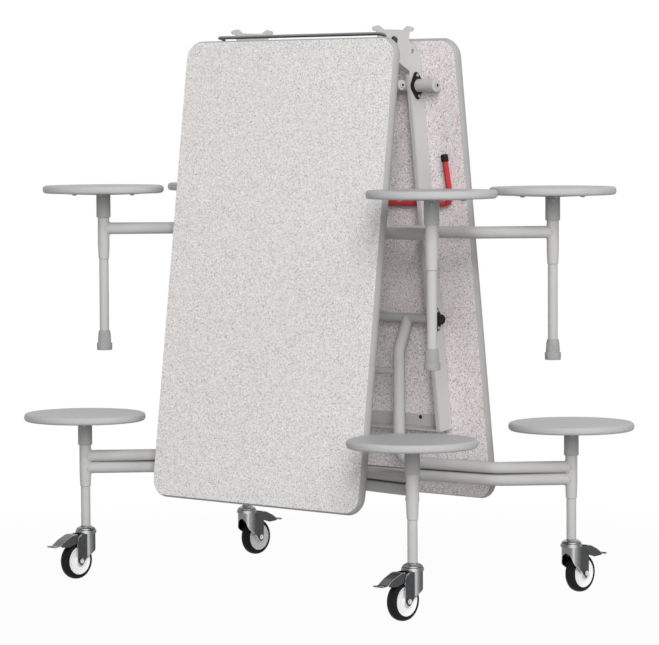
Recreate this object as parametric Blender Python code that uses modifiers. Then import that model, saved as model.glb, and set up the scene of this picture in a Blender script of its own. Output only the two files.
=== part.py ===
"""A mobile folding lunch table with eight stools, standing folded on its casters. Metres, +Z up.

X runs along the centre hinge, Y is the way the table folds (front half at -Y) and the origin is on
the floor under the hinge. Each half is modelled flat, as in use, around its hinge pin, and its
parent empty turns it down. Stool frames hang from pivots under the halves and always stay upright.
"""
import math

import bmesh
import bpy
from mathutils import Matrix, Vector

# Table halves
TABLE_WIDTH = 0.753
HALF_LENGTH = 1.219
TOP_THICKNESS = 0.025
TOP_CORNER = 0.050
TOP_EDGE_ROUND = 0.008
TABLE_HEIGHT = 0.763
FOLD_TILT = math.radians(7.0)

# Centre hinge
HINGE_END_GAP = 0.0085
UNDERSIDE_ABOVE_PIN = 0.100
PIN_RADIUS = 0.007
PIN_HEAD_RADIUS = 0.011
PIN_HEAD_LENGTH = 0.005
PIN_TAIL = 0.005

# Winged hinge plates, measured from the pin with the table folded
HORN_REACH = 0.080
HORN_TOP = 0.037
HORN_DIP = 0.023
NOTCH_TOP = 0.0225
NOTCH_BOTTOM = -0.0055
NOTCH_REACH = 0.0595
WING_HOLE_RADIUS = 0.0055

# Rails under each half
RAIL_INSET = 0.1225
RAIL_DEPTH = 0.050
RAIL_WALL = 0.004
RAIL_FLANGE = 0.010
RAIL_LENGTH = 1.0425
END_RAIL_WIDTH = 0.034
SCREW_HOLE_RADIUS = 0.004
SCREW_HOLE_X = 0.150

# Stool frame pivots
INNER_PIVOT = 0.1265
PIVOT_PITCH = 0.617
PIVOT_BELOW_UNDERSIDE = 0.029
FRONT_TUBE_RADIUS = 0.013
FRONT_TUBE_STICKS_OUT = 0.106
REAR_TUBE_RADIUS = 0.017
REAR_TUBE_STICKS_OUT = 0.0726
OUTER_TUBE_RADIUS = 0.0125
OUTER_TUBE_STICKS_OUT = 0.023
BEARING_THICKNESS = 0.006
BEARING_WALL = 0.006
BOLT_RADIUS = 0.0045
BOLT_HEAD = 0.003

# Stool frames
ARM_RADIUS = 0.0158
ARM_BEND_FROM_POST = 0.131
ARM_BEND_RADIUS = 0.060
STRUT_X = 0.1576
STRUT_BEHIND_PIVOT = 0.037
STRUT_SLANT = 0.085
STRUT_BEND_RADIUS = 0.050
STRETCHER_RADIUS = 0.0095
STRETCHER_BELOW_PIVOT = 0.140
POST_OUTSIDE_PIVOT = 0.150
OUTER_ARM_HEIGHT = 0.330
INNER_ARM_HEIGHT = 0.3305
LOWER_TUBE_DROP = 0.0313

# Stools
SEAT_RADIUS = 0.1635
SEAT_THICKNESS = 0.021
SEAT_EDGE_ROUND = 0.009
SEAT_HEIGHT = 0.447
SEAT_BESIDE_TABLE = 0.051
BRACKET_SIDE = 0.150
BRACKET_CORNER = 0.020
BRACKET_THICKNESS = 0.003
SLEEVE_RADIUS = 0.0192
SLEEVE_ABOVE_ARM = 0.0143
POST_RADIUS = 0.0158
POST_BELOW_ARM = 0.066
POST_TAPER = 0.038
POST_END_RADIUS = 0.0144
LEG_RADIUS = 0.0127
FOOT_RADIUS = 0.0175
FOOT_FLANGE_RADIUS = 0.021
FOOT_FLANGE = 0.020
FOOT_HEIGHT = 0.053
FOOT_SOLE = 0.008
FOOT_OFF_FLOOR = 0.001

# Casters
WHEEL_RADIUS = 0.050
WHEEL_WIDTH = 0.030
HUB_RADIUS = 0.037
HUB_RECESS = 0.003
AXLE_RADIUS = 0.004
AXLE_NUT_RADIUS = 0.0075
CASTER_TRAIL = 0.036
CASTER_HEIGHT = 0.141
HEAD_RADIUS = 0.0285
HEAD_HEIGHT = 0.020
STEM_RADIUS = 0.0055
STEM_LENGTH = 0.030
FORK_WALL = 0.0025
FORK_SIDE_GAP = 0.0035
FORK_NOSE_BEND = 0.0085
PEDAL_WALL = 0.0015
PEDAL_PIVOT_RADIUS = 0.003
PEDAL_PIVOT_OUT = 0.036
PEDAL_PIVOT_BELOW_HEAD = 0.024
PEDAL_REACH = 0.125

# Latch bar on the front half and release lever on the rear half
LATCH_RADIUS = 0.005
LATCH_X_PAST_RAIL = 0.036
LATCH_PIVOT = 0.066
LATCH_PIVOT_BELOW_UNDERSIDE = 0.030
LATCH_BAR_PAST_PIN = 0.003
LATCH_BAR_BELOW_UNDERSIDE = 0.005
LATCH_BEND_RADIUS = 0.010
LEVER_RADIUS = 0.0078
LEVER_PLACE = 0.439
LEVER_BELOW_UNDERSIDE = 0.013
LEVER_X_PAST_RAIL = 0.0746
LEVER_HANDLE = 0.129
LEVER_REST_TILT = math.radians(5.0)
LEVER_BEND_RADIUS = 0.025
GRIP_WALL = 0.0016
GRIP_LENGTH = 0.022

# Levelling links
LINK_THICKNESS = 0.008
LINK_HALF_WIDTH = 0.011
LINK_EYE_WALL = 0.006

# Fits
SEAT_GAP = 0.0003
RUNNING_GAP = 0.0004
HINGE_GAP = 0.001
HOLE_GAP = 0.0015
TUBE_SIDES = 12
ROUND_SIDES = 24
ARC_STEPS = 4

# Places worked out from the sizes above
RAIL_X = TABLE_WIDTH / 2 - RAIL_INSET
STOOL_X = TABLE_WIDTH / 2 + SEAT_BESIDE_TABLE + SEAT_RADIUS
OUTER_PIVOT = INNER_PIVOT + PIVOT_PITCH
PIVOT_LEVEL = UNDERSIDE_ABOVE_PIN - PIVOT_BELOW_UNDERSIDE
PIVOT_HEIGHT = TABLE_HEIGHT - TOP_THICKNESS - PIVOT_BELOW_UNDERSIDE
PIN_HEIGHT = PIVOT_HEIGHT + OUTER_PIVOT * math.cos(FOLD_TILT) - PIVOT_LEVEL * math.sin(FOLD_TILT)
BRACKET_LOW = SEAT_HEIGHT - SEAT_THICKNESS - SEAT_GAP - BRACKET_THICKNESS
SLEEVE_LENGTH = BRACKET_LOW - max(OUTER_ARM_HEIGHT, INNER_ARM_HEIGHT) - ARM_RADIUS - SLEEVE_ABOVE_ARM
RAIL_TOP = UNDERSIDE_ABOVE_PIN - SEAT_GAP
RAIL_BOTTOM = UNDERSIDE_ABOVE_PIN - RAIL_DEPTH
SIDES = {"front": math.pi, "rear": 0.0}
ROWS = {"inner": (INNER_PIVOT, INNER_ARM_HEIGHT), "outer": (OUTER_PIVOT, OUTER_ARM_HEIGHT)}
PIVOT_TUBES = {
    ("front", "inner"): (FRONT_TUBE_RADIUS, FRONT_TUBE_STICKS_OUT),
    ("rear", "inner"): (REAR_TUBE_RADIUS, REAR_TUBE_STICKS_OUT),
    ("front", "outer"): (OUTER_TUBE_RADIUS, OUTER_TUBE_STICKS_OUT),
    ("rear", "outer"): (OUTER_TUBE_RADIUS, OUTER_TUBE_STICKS_OUT),
}

# How a flat outline lies: its two axes and the way it is thick
ACROSS = Matrix(((0, 0, 1), (1, 0, 0), (0, 1, 0))).to_4x4()
FLAT = Matrix.Identity(4)
ALONG_X = Matrix(((0, 0, 1), (0, 1, 0), (-1, 0, 0))).to_4x4()
ALONG_Y = Matrix(((1, 0, 0), (0, 0, 1), (0, -1, 0))).to_4x4()


def clear_scene():
    for obj in list(bpy.data.objects):
        bpy.data.objects.remove(obj, do_unlink=True)


def new_collection(name):
    collection = bpy.data.collections.new(name)
    bpy.context.scene.collection.children.link(collection)
    return collection


def finish(name, colour, roughness, metallic=0.0):
    """A Principled material with one colour."""
    material = bpy.data.materials.new(name)
    material.use_nodes = True
    shader = material.node_tree.nodes["Principled BSDF"]
    shader.inputs["Base Color"].default_value = (*colour, 1.0)
    shader.inputs["Roughness"].default_value = roughness
    shader.inputs["Metallic"].default_value = metallic
    return material


def evaluated_copy(source):
    """A plain mesh object of what source shows, with its place applied. The source is removed."""
    graph = bpy.context.evaluated_depsgraph_get()
    graph.update()
    mesh = bpy.data.meshes.new_from_object(source.evaluated_get(graph))
    mesh.transform(source.matrix_world)
    work = bmesh.new()
    work.from_mesh(mesh)
    bmesh.ops.remove_doubles(work, verts=work.verts, dist=1e-6)
    work.to_mesh(mesh)
    work.free()
    bpy.data.objects.remove(source, do_unlink=True)
    copy = bpy.data.objects.new("piece", mesh)
    shop.objects.link(copy)
    return copy


def rounded(points, radius, closed=False):
    """The points with each inner corner turned into an arc of the radius, or less where legs are short."""
    corners = [Vector(point) for point in points]
    path = []
    for index, corner in enumerate(corners):
        if not closed and index in (0, len(corners) - 1):
            path.append(corner)
            continue
        back = corners[index - 1] - corner
        ahead = corners[(index + 1) % len(corners)] - corner
        half = back.angle(ahead) / 2
        reach = min(radius / math.tan(half), 0.48 * back.length, 0.48 * ahead.length)
        start = back.normalized() * reach
        end = ahead.normalized() * reach
        centre = (start + end).normalized() * (reach / math.cos(half))
        for step in range(ARC_STEPS + 1):
            spoke = (start - centre).normalized().slerp((end - centre).normalized(), step / ARC_STEPS)
            path.append(corner + centre + spoke * (start - centre).length)
    return path


def tube(path, radius):
    """A round bar along a path, with flat closed ends."""
    data = bpy.data.curves.new("tube", "CURVE")
    data.dimensions = "3D"
    data.bevel_depth = radius
    data.bevel_resolution = TUBE_SIDES // 2 - 2
    data.use_fill_caps = True
    spline = data.splines.new("POLY")
    spline.points.add(len(path) - 1)
    for point, place in zip(spline.points, path):
        point.co = (*place, 1.0)
    source = bpy.data.objects.new("tube", data)
    shop.objects.link(source)
    return evaluated_copy(source)


def plate(outline, thickness, lie, middle=0.0):
    """A flat outline made thick about a middle plane."""
    data = bpy.data.curves.new("plate", "CURVE")
    data.dimensions = "2D"
    data.fill_mode = "BOTH"
    data.extrude = thickness / 2
    spline = data.splines.new("POLY")
    spline.points.add(len(outline) - 1)
    for point, place in zip(spline.points, outline):
        point.co = (place[0], place[1], 0.0, 1.0)
    spline.use_cyclic_u = True
    source = bpy.data.objects.new("plate", data)
    shop.objects.link(source)
    source.matrix_world = lie @ Matrix.Translation((0, 0, middle))
    return evaluated_copy(source)


def turned(profile, lie=FLAT, place=(0, 0, 0), steps=ROUND_SIDES, turn=0.0):
    """A profile of (radius, height) points, run from top to bottom, spun around its axis."""
    mesh = bpy.data.meshes.new("profile")
    points = [(radius, 0.0, height) for radius, height in profile]
    mesh.from_pydata(points, [(i, i + 1) for i in range(len(points) - 1)], [])
    source = bpy.data.objects.new("profile", mesh)
    shop.objects.link(source)
    screw = source.modifiers.new("Spin", "SCREW")
    screw.steps = steps
    screw.render_steps = steps
    screw.use_merge_vertices = True
    screw.merge_threshold = 1e-5
    source.matrix_world = Matrix.Translation(place) @ lie @ Matrix.Rotation(turn, 4, "Z")
    return evaluated_copy(source)


def rod(radius, length, lie=FLAT, place=(0, 0, 0), steps=TUBE_SIDES):
    """A plain cylinder centred on a place."""
    work = bmesh.new()
    bmesh.ops.create_cone(work, cap_ends=True, segments=steps, radius1=radius, radius2=radius, depth=length)
    mesh = bpy.data.meshes.new("rod")
    work.to_mesh(mesh)
    work.free()
    source = bpy.data.objects.new("rod", mesh)
    shop.objects.link(source)
    source.matrix_world = Matrix.Translation(place) @ lie
    return evaluated_copy(source)


def block(low, high):
    """A box between two corners."""
    work = bmesh.new()
    bmesh.ops.create_cube(work, size=1.0)
    size = Vector(high) - Vector(low)
    bmesh.ops.scale(work, verts=work.verts, vec=size)
    bmesh.ops.translate(work, verts=work.verts, vec=Vector(low) + size / 2)
    mesh = bpy.data.meshes.new("block")
    work.to_mesh(mesh)
    work.free()
    source = bpy.data.objects.new("block", mesh)
    shop.objects.link(source)
    return source


def combined(pieces, cutters=()):
    """The pieces welded into one body, less the cutters."""
    body = pieces[0]
    tools = [(piece, "UNION") for piece in pieces[1:]] + [(piece, "DIFFERENCE") for piece in cutters]
    for tool, operation in tools:
        change = body.modifiers.new(operation.title(), "BOOLEAN")
        change.operation = operation
        change.solver = "EXACT"
        change.object = tool
    bpy.context.view_layer.update()
    whole = evaluated_copy(body)
    for tool, _ in tools:
        bpy.data.objects.remove(tool, do_unlink=True)
    return whole


def bevelled(piece, width):
    """The piece with its sharp rims rounded."""
    change = piece.modifiers.new("Rim", "BEVEL")
    change.width = width
    change.segments = 2
    change.limit_method = "ANGLE"
    change.angle_limit = math.radians(50)
    bpy.context.view_layer.update()
    return evaluated_copy(piece)


def bore(radius, steps=TUBE_SIDES):
    """The corner radius of a faceted hole whose flats lie at the radius."""
    return radius / math.cos(math.pi / steps)


def put(name, piece, material, parent, place=(0, 0, 0)):
    """Name a finished piece and hang it on its parent, with the piece's own origin at the place."""
    shop.objects.unlink(piece)
    table.objects.link(piece)
    piece.name = name
    piece.data.name = name
    piece.data.materials.clear()
    piece.data.materials.append(material)
    piece.data.shade_smooth()
    piece.data.set_sharp_from_angle(angle=math.radians(32))
    piece.parent = parent
    piece.location = place
    return piece


def put_copy(name, mesh, material, parent, place=(0, 0, 0)):
    """A repeated piece that shares its mesh."""
    piece = bpy.data.objects.new(name, mesh)
    table.objects.link(piece)
    if not mesh.materials:
        mesh.materials.append(material)
        mesh.shade_smooth()
        mesh.set_sharp_from_angle(angle=math.radians(32))
    piece.parent = parent
    piece.location = place
    return piece


def guide(name, parent=None, place=(0, 0, 0), turn=(0, 0, 0)):
    """An empty that carries pieces."""
    empty = bpy.data.objects.new(name, None)
    table.objects.link(empty)
    empty.parent = parent
    empty.location = place
    empty.rotation_euler = turn
    return empty


def hand(side, sign):
    """Left or right as seen from the front, for a sign along a side's own X axis."""
    facing = -1 if side == "front" else 1
    return "right" if sign * facing > 0 else "left"


def taken(piece):
    """The mesh of a workshop piece, which is then removed."""
    mesh = piece.data
    bpy.data.objects.remove(piece, do_unlink=True)
    return mesh


def table_top():
    """One half of the top: a board with round corners and a rounded rim."""
    low = HINGE_END_GAP
    high = HINGE_END_GAP + HALF_LENGTH
    side = TABLE_WIDTH / 2
    outline = rounded([(-side, low), (side, low), (side, high), (-side, high)], TOP_CORNER, closed=True)
    board = plate(outline, TOP_THICKNESS, FLAT, UNDERSIDE_ABOVE_PIN + TOP_THICKNESS / 2)
    return bevelled(board, TOP_EDGE_ROUND)


def half_point(across, above):
    """A point measured upright from the pin of the folded table, in the flat half's own axes."""
    along = across * math.sin(FOLD_TILT) - above * math.cos(FOLD_TILT)
    level = across * math.cos(FOLD_TILT) + above * math.sin(FOLD_TILT)
    return (along, level)


def winged_web():
    """Outline of a rear rail's web: the straight web that grows into a plate with two latch horns."""
    wing = [
        (HORN_DIP * 1.6, HORN_DIP + 0.004),
        (HORN_REACH * 0.66, HORN_TOP),
        (HORN_REACH * 0.76, HORN_TOP),
        (HORN_REACH * 0.98, NOTCH_TOP + 0.011),
        (HORN_REACH, NOTCH_TOP + 0.006),
        (HORN_REACH * 0.95, NOTCH_TOP + 0.001),
        (NOTCH_REACH + 0.004, NOTCH_TOP),
        (NOTCH_REACH, (NOTCH_TOP + NOTCH_BOTTOM) / 2),
        (NOTCH_REACH + 0.004, NOTCH_BOTTOM),
    ]
    web_top = RAIL_TOP - HINGE_GAP
    web_low = RAIL_BOTTOM + HINGE_GAP
    left = [half_point(-across, above) for across, above in reversed(wing)]
    left.insert(0, half_point(-NOTCH_REACH, NOTCH_BOTTOM - 0.011))
    right = [half_point(across, above) for across, above in wing]
    right.append(half_point(NOTCH_REACH + 0.0175, NOTCH_BOTTOM - 0.0035))
    right.append((INNER_PIVOT - 0.070, web_top))
    rail = [(RAIL_LENGTH, web_top), (RAIL_LENGTH, web_low), (INNER_PIVOT - 0.040, web_low)]
    return left + right + rail


def knuckle_web():
    """Outline of a front rail's web, which reaches down to a round knuckle on the hinge pin."""
    eye = PIN_RADIUS * 2.2
    web_top = RAIL_TOP - HINGE_GAP
    web_low = RAIL_BOTTOM + HINGE_GAP
    turns = [math.radians(angle) for angle in (150, 190, 230, 270, 310)]
    around = [(eye * math.cos(turn), eye * math.sin(turn)) for turn in turns]
    rail = [(INNER_PIVOT - 0.050, web_low), (RAIL_LENGTH, web_low), (RAIL_LENGTH, web_top)]
    return around + rail + [(HINGE_END_GAP + 0.030, web_top), (HINGE_END_GAP + 0.006, web_top - 0.030)]


def rail(side, sign):
    """A pressed channel under one edge of a half, with holes for all that passes through it."""
    inset = RAIL_WALL + HINGE_GAP if side == "front" else 0.0
    middle = sign * (RAIL_X - inset)
    web = plate(winged_web() if side == "rear" else knuckle_web(), RAIL_WALL, ACROSS, middle)
    inner = middle - sign * (RAIL_WALL / 2 + RAIL_FLANGE)
    low_x = min(middle, inner)
    high_x = max(middle, inner)
    start = INNER_PIVOT - 0.030
    flange_wall = RAIL_WALL * 0.75
    flanges = [
        block((low_x, start, RAIL_TOP - flange_wall), (high_x, RAIL_LENGTH - HINGE_GAP, RAIL_TOP)),
        block((low_x, start, RAIL_BOTTOM), (high_x, RAIL_LENGTH - HINGE_GAP, RAIL_BOTTOM + flange_wall)),
    ]
    pin_gap = SEAT_GAP if side == "rear" else RUNNING_GAP
    holes = [
        (0.0, 0.0, PIN_RADIUS + pin_gap),
        (INNER_PIVOT, PIVOT_LEVEL, PIVOT_TUBES[side, "inner"][0] + HOLE_GAP),
        (OUTER_PIVOT, PIVOT_LEVEL, OUTER_TUBE_RADIUS + HOLE_GAP),
    ]
    if side == "rear":
        lever_level = UNDERSIDE_ABOVE_PIN - LEVER_BELOW_UNDERSIDE
        holes.append((LEVER_PLACE, lever_level, LEVER_RADIUS + RUNNING_GAP))
        holes.append((*half_point(HORN_REACH * 0.94, NOTCH_BOTTOM * 4.4), WING_HOLE_RADIUS))
    else:
        latch_level = UNDERSIDE_ABOVE_PIN - LATCH_PIVOT_BELOW_UNDERSIDE
        holes.append((LATCH_PIVOT, latch_level, LATCH_RADIUS + RUNNING_GAP))
    drills = []
    for along, level, radius in holes:
        drills.append(rod(bore(radius), RAIL_WALL * 3, ALONG_X, (middle, along, level)))
    return combined([web] + flanges, drills)


def end_rail(side):
    """The angle across the outer ends of a half's rails, screwed up into the board."""
    inset = RAIL_WALL + HINGE_GAP if side == "front" else 0.0
    half_span = RAIL_X - inset - RAIL_WALL / 2 - RAIL_FLANGE - SEAT_GAP
    wall = RAIL_WALL * 0.75
    outer = RAIL_LENGTH - HINGE_GAP
    outline = [
        (outer - END_RAIL_WIDTH, RAIL_TOP),
        (outer - END_RAIL_WIDTH, RAIL_TOP - wall),
        (outer - wall, RAIL_TOP - wall),
        (outer - wall, RAIL_BOTTOM),
        (outer, RAIL_BOTTOM),
        (outer, RAIL_TOP),
    ]
    angle = plate(outline, 2 * half_span, ACROSS)
    along = outer - END_RAIL_WIDTH * 0.75
    drills = []
    for place in (-SCREW_HOLE_X, SCREW_HOLE_X):
        drills.append(rod(SCREW_HOLE_RADIUS, wall * 3, FLAT, (place, along, RAIL_TOP - wall / 2), 8))
    return combined([angle], drills)


def hinge_pin(sign):
    """One of the two centre pins: a headed bolt through a rear plate and a front knuckle."""
    outside = RAIL_X + RAIL_WALL / 2 + SEAT_GAP
    inside = RAIL_X - RAIL_WALL * 1.5 - HINGE_GAP - PIN_TAIL
    shank = rod(PIN_RADIUS, outside + PIN_HEAD_LENGTH / 2 - inside, ALONG_X,
                (sign * (outside + PIN_HEAD_LENGTH / 2 + inside) / 2, 0, 0))
    head = rod(PIN_HEAD_RADIUS, PIN_HEAD_LENGTH, ALONG_X, (sign * (outside + PIN_HEAD_LENGTH / 2), 0, 0), 6)
    return combined([shank, head])


def bearing(tube_radius):
    """A flanged bush for a pivot tube: an oval flange with two bolt heads, standing on the X = 0 plane."""
    hub = tube_radius + BEARING_WALL
    bolt_place = hub + BOLT_RADIUS * 0.9
    ear = BOLT_RADIUS * 1.9
    outline = []
    lobes = ((bolt_place, ear, -50), (0, hub, 70), (-bolt_place, ear, 130), (0, hub, 250))
    for centre, radius, first in lobes:
        for step in range(ARC_STEPS):
            turn = math.radians(first + step * (100 if radius == ear else 40) / (ARC_STEPS - 1))
            outline.append((centre + radius * math.cos(turn), radius * math.sin(turn)))
    flange = plate(outline, BEARING_THICKNESS, ACROSS, BEARING_THICKNESS / 2)
    bolts = []
    for place in (-bolt_place, bolt_place):
        bolts.append(rod(BOLT_RADIUS, BOLT_HEAD * 2, ALONG_X, (BEARING_THICKNESS, place, 0), 6))
    hole = rod(bore(tube_radius + RUNNING_GAP), BEARING_THICKNESS * 3, ALONG_X)
    return combined([flange] + bolts, [hole])


def post(row):
    """A stool post around its own axis, from the seat bracket down to its caster or foot."""
    top = BRACKET_LOW - SEAT_GAP
    low = ROWS[row][1] - ARM_RADIUS - POST_BELOW_ARM
    end = CASTER_HEIGHT if row == "outer" else FOOT_OFF_FLOOR + FOOT_SOLE + SEAT_GAP
    heights = [height - PIVOT_HEIGHT for height in (top, low + POST_TAPER, low, end)]
    profile = [
        (0.0, heights[0]),
        (POST_RADIUS, heights[0]),
        (POST_RADIUS, heights[1]),
        (POST_END_RADIUS, heights[2]),
        (LEG_RADIUS, heights[2]),
        (LEG_RADIUS, heights[3]),
        (0.0, heights[3]),
    ]
    return profile


def stool_frame(side, row):
    """A welded frame of bent tube around its pivot, +Y outwards: it carries two stools."""
    tube_radius, sticks_out = PIVOT_TUBES[side, row]
    arm = ROWS[row][1] - PIVOT_HEIGHT
    bend_x = STOOL_X - ARM_BEND_FROM_POST
    behind = -STRUT_BEHIND_PIVOT
    pieces = [rod(tube_radius, 2 * (RAIL_X + sticks_out), ALONG_X)]
    drills = []
    for sign in (-1, 1):
        route = rounded([
            (sign * STOOL_X, POST_OUTSIDE_PIVOT, arm),
            (sign * bend_x, 0.0, arm),
            (sign * STRUT_X, behind, arm),
            (sign * STRUT_X, behind, -STRUT_SLANT),
            (sign * STRUT_X, 0.0, 0.0),
        ], STRUT_BEND_RADIUS)
        pieces.append(tube(route, ARM_RADIUS))
        pieces.append(turned(post(row), FLAT, (sign * STOOL_X, POST_OUTSIDE_PIVOT, 0.0), TUBE_SIDES))
        if row == "outer":
            depth = STEM_LENGTH + RUNNING_GAP
            place = (sign * STOOL_X, POST_OUTSIDE_PIVOT, CASTER_HEIGHT - PIVOT_HEIGHT)
            drills.append(rod(bore(STEM_RADIUS + RUNNING_GAP), 2 * depth, FLAT, place))
    stretcher_place = (0.0, behind, -STRETCHER_BELOW_PIVOT)
    pieces.append(rod(STRETCHER_RADIUS, 2 * STRUT_X, ALONG_X, stretcher_place))
    if row == "outer":
        low = arm - LOWER_TUBE_DROP
        right = [
            (STOOL_X, POST_OUTSIDE_PIVOT, low),
            (bend_x, 0.0, low),
            (STRUT_X, behind, low),
        ]
        left = [(-x, y, z) for x, y, z in reversed(right)]
        pieces.append(tube(rounded(right + left, ARM_BEND_RADIUS), ARM_RADIUS))
    return combined(pieces, drills)


def seat():
    """A round seat board with a rounded rim, its middle on the post's axis and its top at height 0."""
    ease = SEAT_EDGE_ROUND
    low = -SEAT_THICKNESS
    inset = ease * (1 - math.sqrt(0.5))
    profile = [
        (0.0, 0.0),
        (SEAT_RADIUS - ease, 0.0),
        (SEAT_RADIUS - inset, -inset),
        (SEAT_RADIUS, -ease),
        (SEAT_RADIUS, low + ease),
        (SEAT_RADIUS - inset, low + inset),
        (SEAT_RADIUS - ease, low),
        (0.0, low),
    ]
    return turned(profile, steps=ROUND_SIDES + 4)


def seat_bracket():
    """A square plate with a sleeve that drops over the stool post. Height 0 is the plate's top."""
    side = BRACKET_SIDE / 2
    corners = [(-side, -side), (side, -side), (side, side), (-side, side)]
    outline = rounded(corners, BRACKET_CORNER, closed=True)
    flat = plate(outline, BRACKET_THICKNESS, FLAT, -BRACKET_THICKNESS / 2)
    low = -BRACKET_THICKNESS - SLEEVE_LENGTH
    sleeve = rod(SLEEVE_RADIUS, SLEEVE_LENGTH + BRACKET_THICKNESS / 2, FLAT,
                 (0, 0, low + (SLEEVE_LENGTH + BRACKET_THICKNESS / 2) / 2), 16)
    hole = rod(bore(POST_RADIUS + SEAT_GAP), 2 * SLEEVE_LENGTH, FLAT, (0, 0, low))
    return combined([flat, sleeve], [hole])


def foot():
    """A rubber foot pushed on to the end of a leg. Height 0 is its sole."""
    inside = bore(LEG_RADIUS + SEAT_GAP)
    profile = [
        (0.0, FOOT_SOLE),
        (inside, FOOT_SOLE),
        (inside, FOOT_HEIGHT),
        (FOOT_RADIUS, FOOT_HEIGHT),
        (FOOT_RADIUS, FOOT_FLANGE),
        (FOOT_FLANGE_RADIUS, FOOT_FLANGE),
        (FOOT_FLANGE_RADIUS, 0.0),
        (0.0, 0.0),
    ]
    return turned(profile, steps=TUBE_SIDES)


def fork_half_gap():
    return WHEEL_WIDTH / 2 + FORK_SIDE_GAP


def fork_nose(front, outside):
    """Plan of the fork's bent front wall, which joins its two cheeks ahead of the wheel."""
    bend = FORK_NOSE_BEND
    wall = FORK_WALL
    back = front + bend + 2 * wall
    outer = [(outside, back), (outside, front + bend), (outside - bend, front)]
    inner = [(outside - bend - 0.4 * wall, front + wall), (outside - wall, front + bend + 0.4 * wall),
             (outside - wall, back)]
    right = outer[::-1]
    left = [(-x, y) for x, y in outer]
    left_inside = [(-x, y) for x, y in reversed(inner)]
    return left + right + inner[::-1] + left_inside[::-1]


def caster_fork():
    """A pressed swivel fork around the caster's stem, +Y towards the wheel, height 0 on the floor."""
    head_top = CASTER_HEIGHT - SEAT_GAP
    head_low = head_top - HEAD_HEIGHT
    head = turned([
        (0.0, head_top),
        (HEAD_RADIUS * 0.45, head_top),
        (HEAD_RADIUS * 0.92, head_top - HEAD_HEIGHT * 0.35),
        (HEAD_RADIUS, head_top - HEAD_HEIGHT * 0.6),
        (HEAD_RADIUS, head_low),
        (0.0, head_low),
    ], steps=16)
    outer = fork_half_gap() + FORK_WALL
    strap = AXLE_NUT_RADIUS * 1.75
    cheek = [
        (-HEAD_RADIUS * 0.68, head_low + HEAD_HEIGHT * 0.3),
        (-HEAD_RADIUS * 0.68, WHEEL_RADIUS * 1.70),
        (CASTER_TRAIL - strap * 1.7, WHEEL_RADIUS * 1.34),
        (CASTER_TRAIL - strap * 0.9, WHEEL_RADIUS - strap * 0.5),
        (CASTER_TRAIL, WHEEL_RADIUS - strap),
        (CASTER_TRAIL + strap * 0.9, WHEEL_RADIUS - strap * 0.5),
        (CASTER_TRAIL + strap, WHEEL_RADIUS * 1.9),
        (PEDAL_PIVOT_OUT + PEDAL_PIVOT_RADIUS * 3.5, head_top - PEDAL_PIVOT_BELOW_HEAD),
        (PEDAL_PIVOT_OUT, head_low + HEAD_HEIGHT * 0.1),
        (HEAD_RADIUS * 0.68, head_low + HEAD_HEIGHT * 0.3),
    ]
    pieces = [head, rod(STEM_RADIUS, STEM_LENGTH + HEAD_HEIGHT / 2, FLAT,
                        (0, 0, head_top + (STEM_LENGTH - HEAD_HEIGHT / 2) / 2))]
    for sign in (-1, 1):
        pieces.append(plate(cheek, FORK_WALL, ACROSS, sign * (outer - FORK_WALL / 2)))
    axle_place = (0, CASTER_TRAIL, WHEEL_RADIUS)
    pieces.append(rod(AXLE_RADIUS, 2 * outer + AXLE_RADIUS, ALONG_X, axle_place))
    for sign in (-1, 1):
        nut_place = (sign * (outer + AXLE_RADIUS / 2), CASTER_TRAIL, WHEEL_RADIUS)
        pieces.append(rod(AXLE_NUT_RADIUS, AXLE_RADIUS * 1.5, ALONG_X, nut_place, 6))
    nose_front = -HEAD_RADIUS * 0.68 - SEAT_GAP
    nose_top = head_low + HEAD_HEIGHT * 0.2
    nose_low = WHEEL_RADIUS * 1.72
    nose_plan = fork_nose(nose_front, outer - SEAT_GAP)
    pieces.append(plate(nose_plan, nose_top - nose_low, FLAT, (nose_top + nose_low) / 2))
    pivot_place = (0, PEDAL_PIVOT_OUT, head_top - PEDAL_PIVOT_BELOW_HEAD)
    pieces.append(rod(PEDAL_PIVOT_RADIUS, 2 * outer - FORK_WALL, ALONG_X, pivot_place, 8))
    return combined(pieces)


def wheel():
    """A wheel around its own axle along X: a recessed hub with a moulded-on tread."""
    half = WHEEL_WIDTH / 2
    inside = bore(AXLE_RADIUS + RUNNING_GAP)
    rim = bore(WHEEL_RADIUS, ROUND_SIDES)
    boss = AXLE_NUT_RADIUS * 1.3
    crown = (rim - HUB_RADIUS) * 0.35
    side = [
        (inside, half),
        (boss, half),
        (boss, half - HUB_RECESS),
        (HUB_RADIUS, half - HUB_RECESS),
        (HUB_RADIUS, half - HUB_RECESS * 0.3),
        (rim - crown, half - HUB_RECESS * 0.3),
        (rim, half * 0.45),
    ]
    other = [(radius, -height) for radius, height in reversed(side)]
    return turned(side + other + [side[0]], ALONG_X, steps=ROUND_SIDES, turn=math.pi / ROUND_SIDES)


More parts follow.
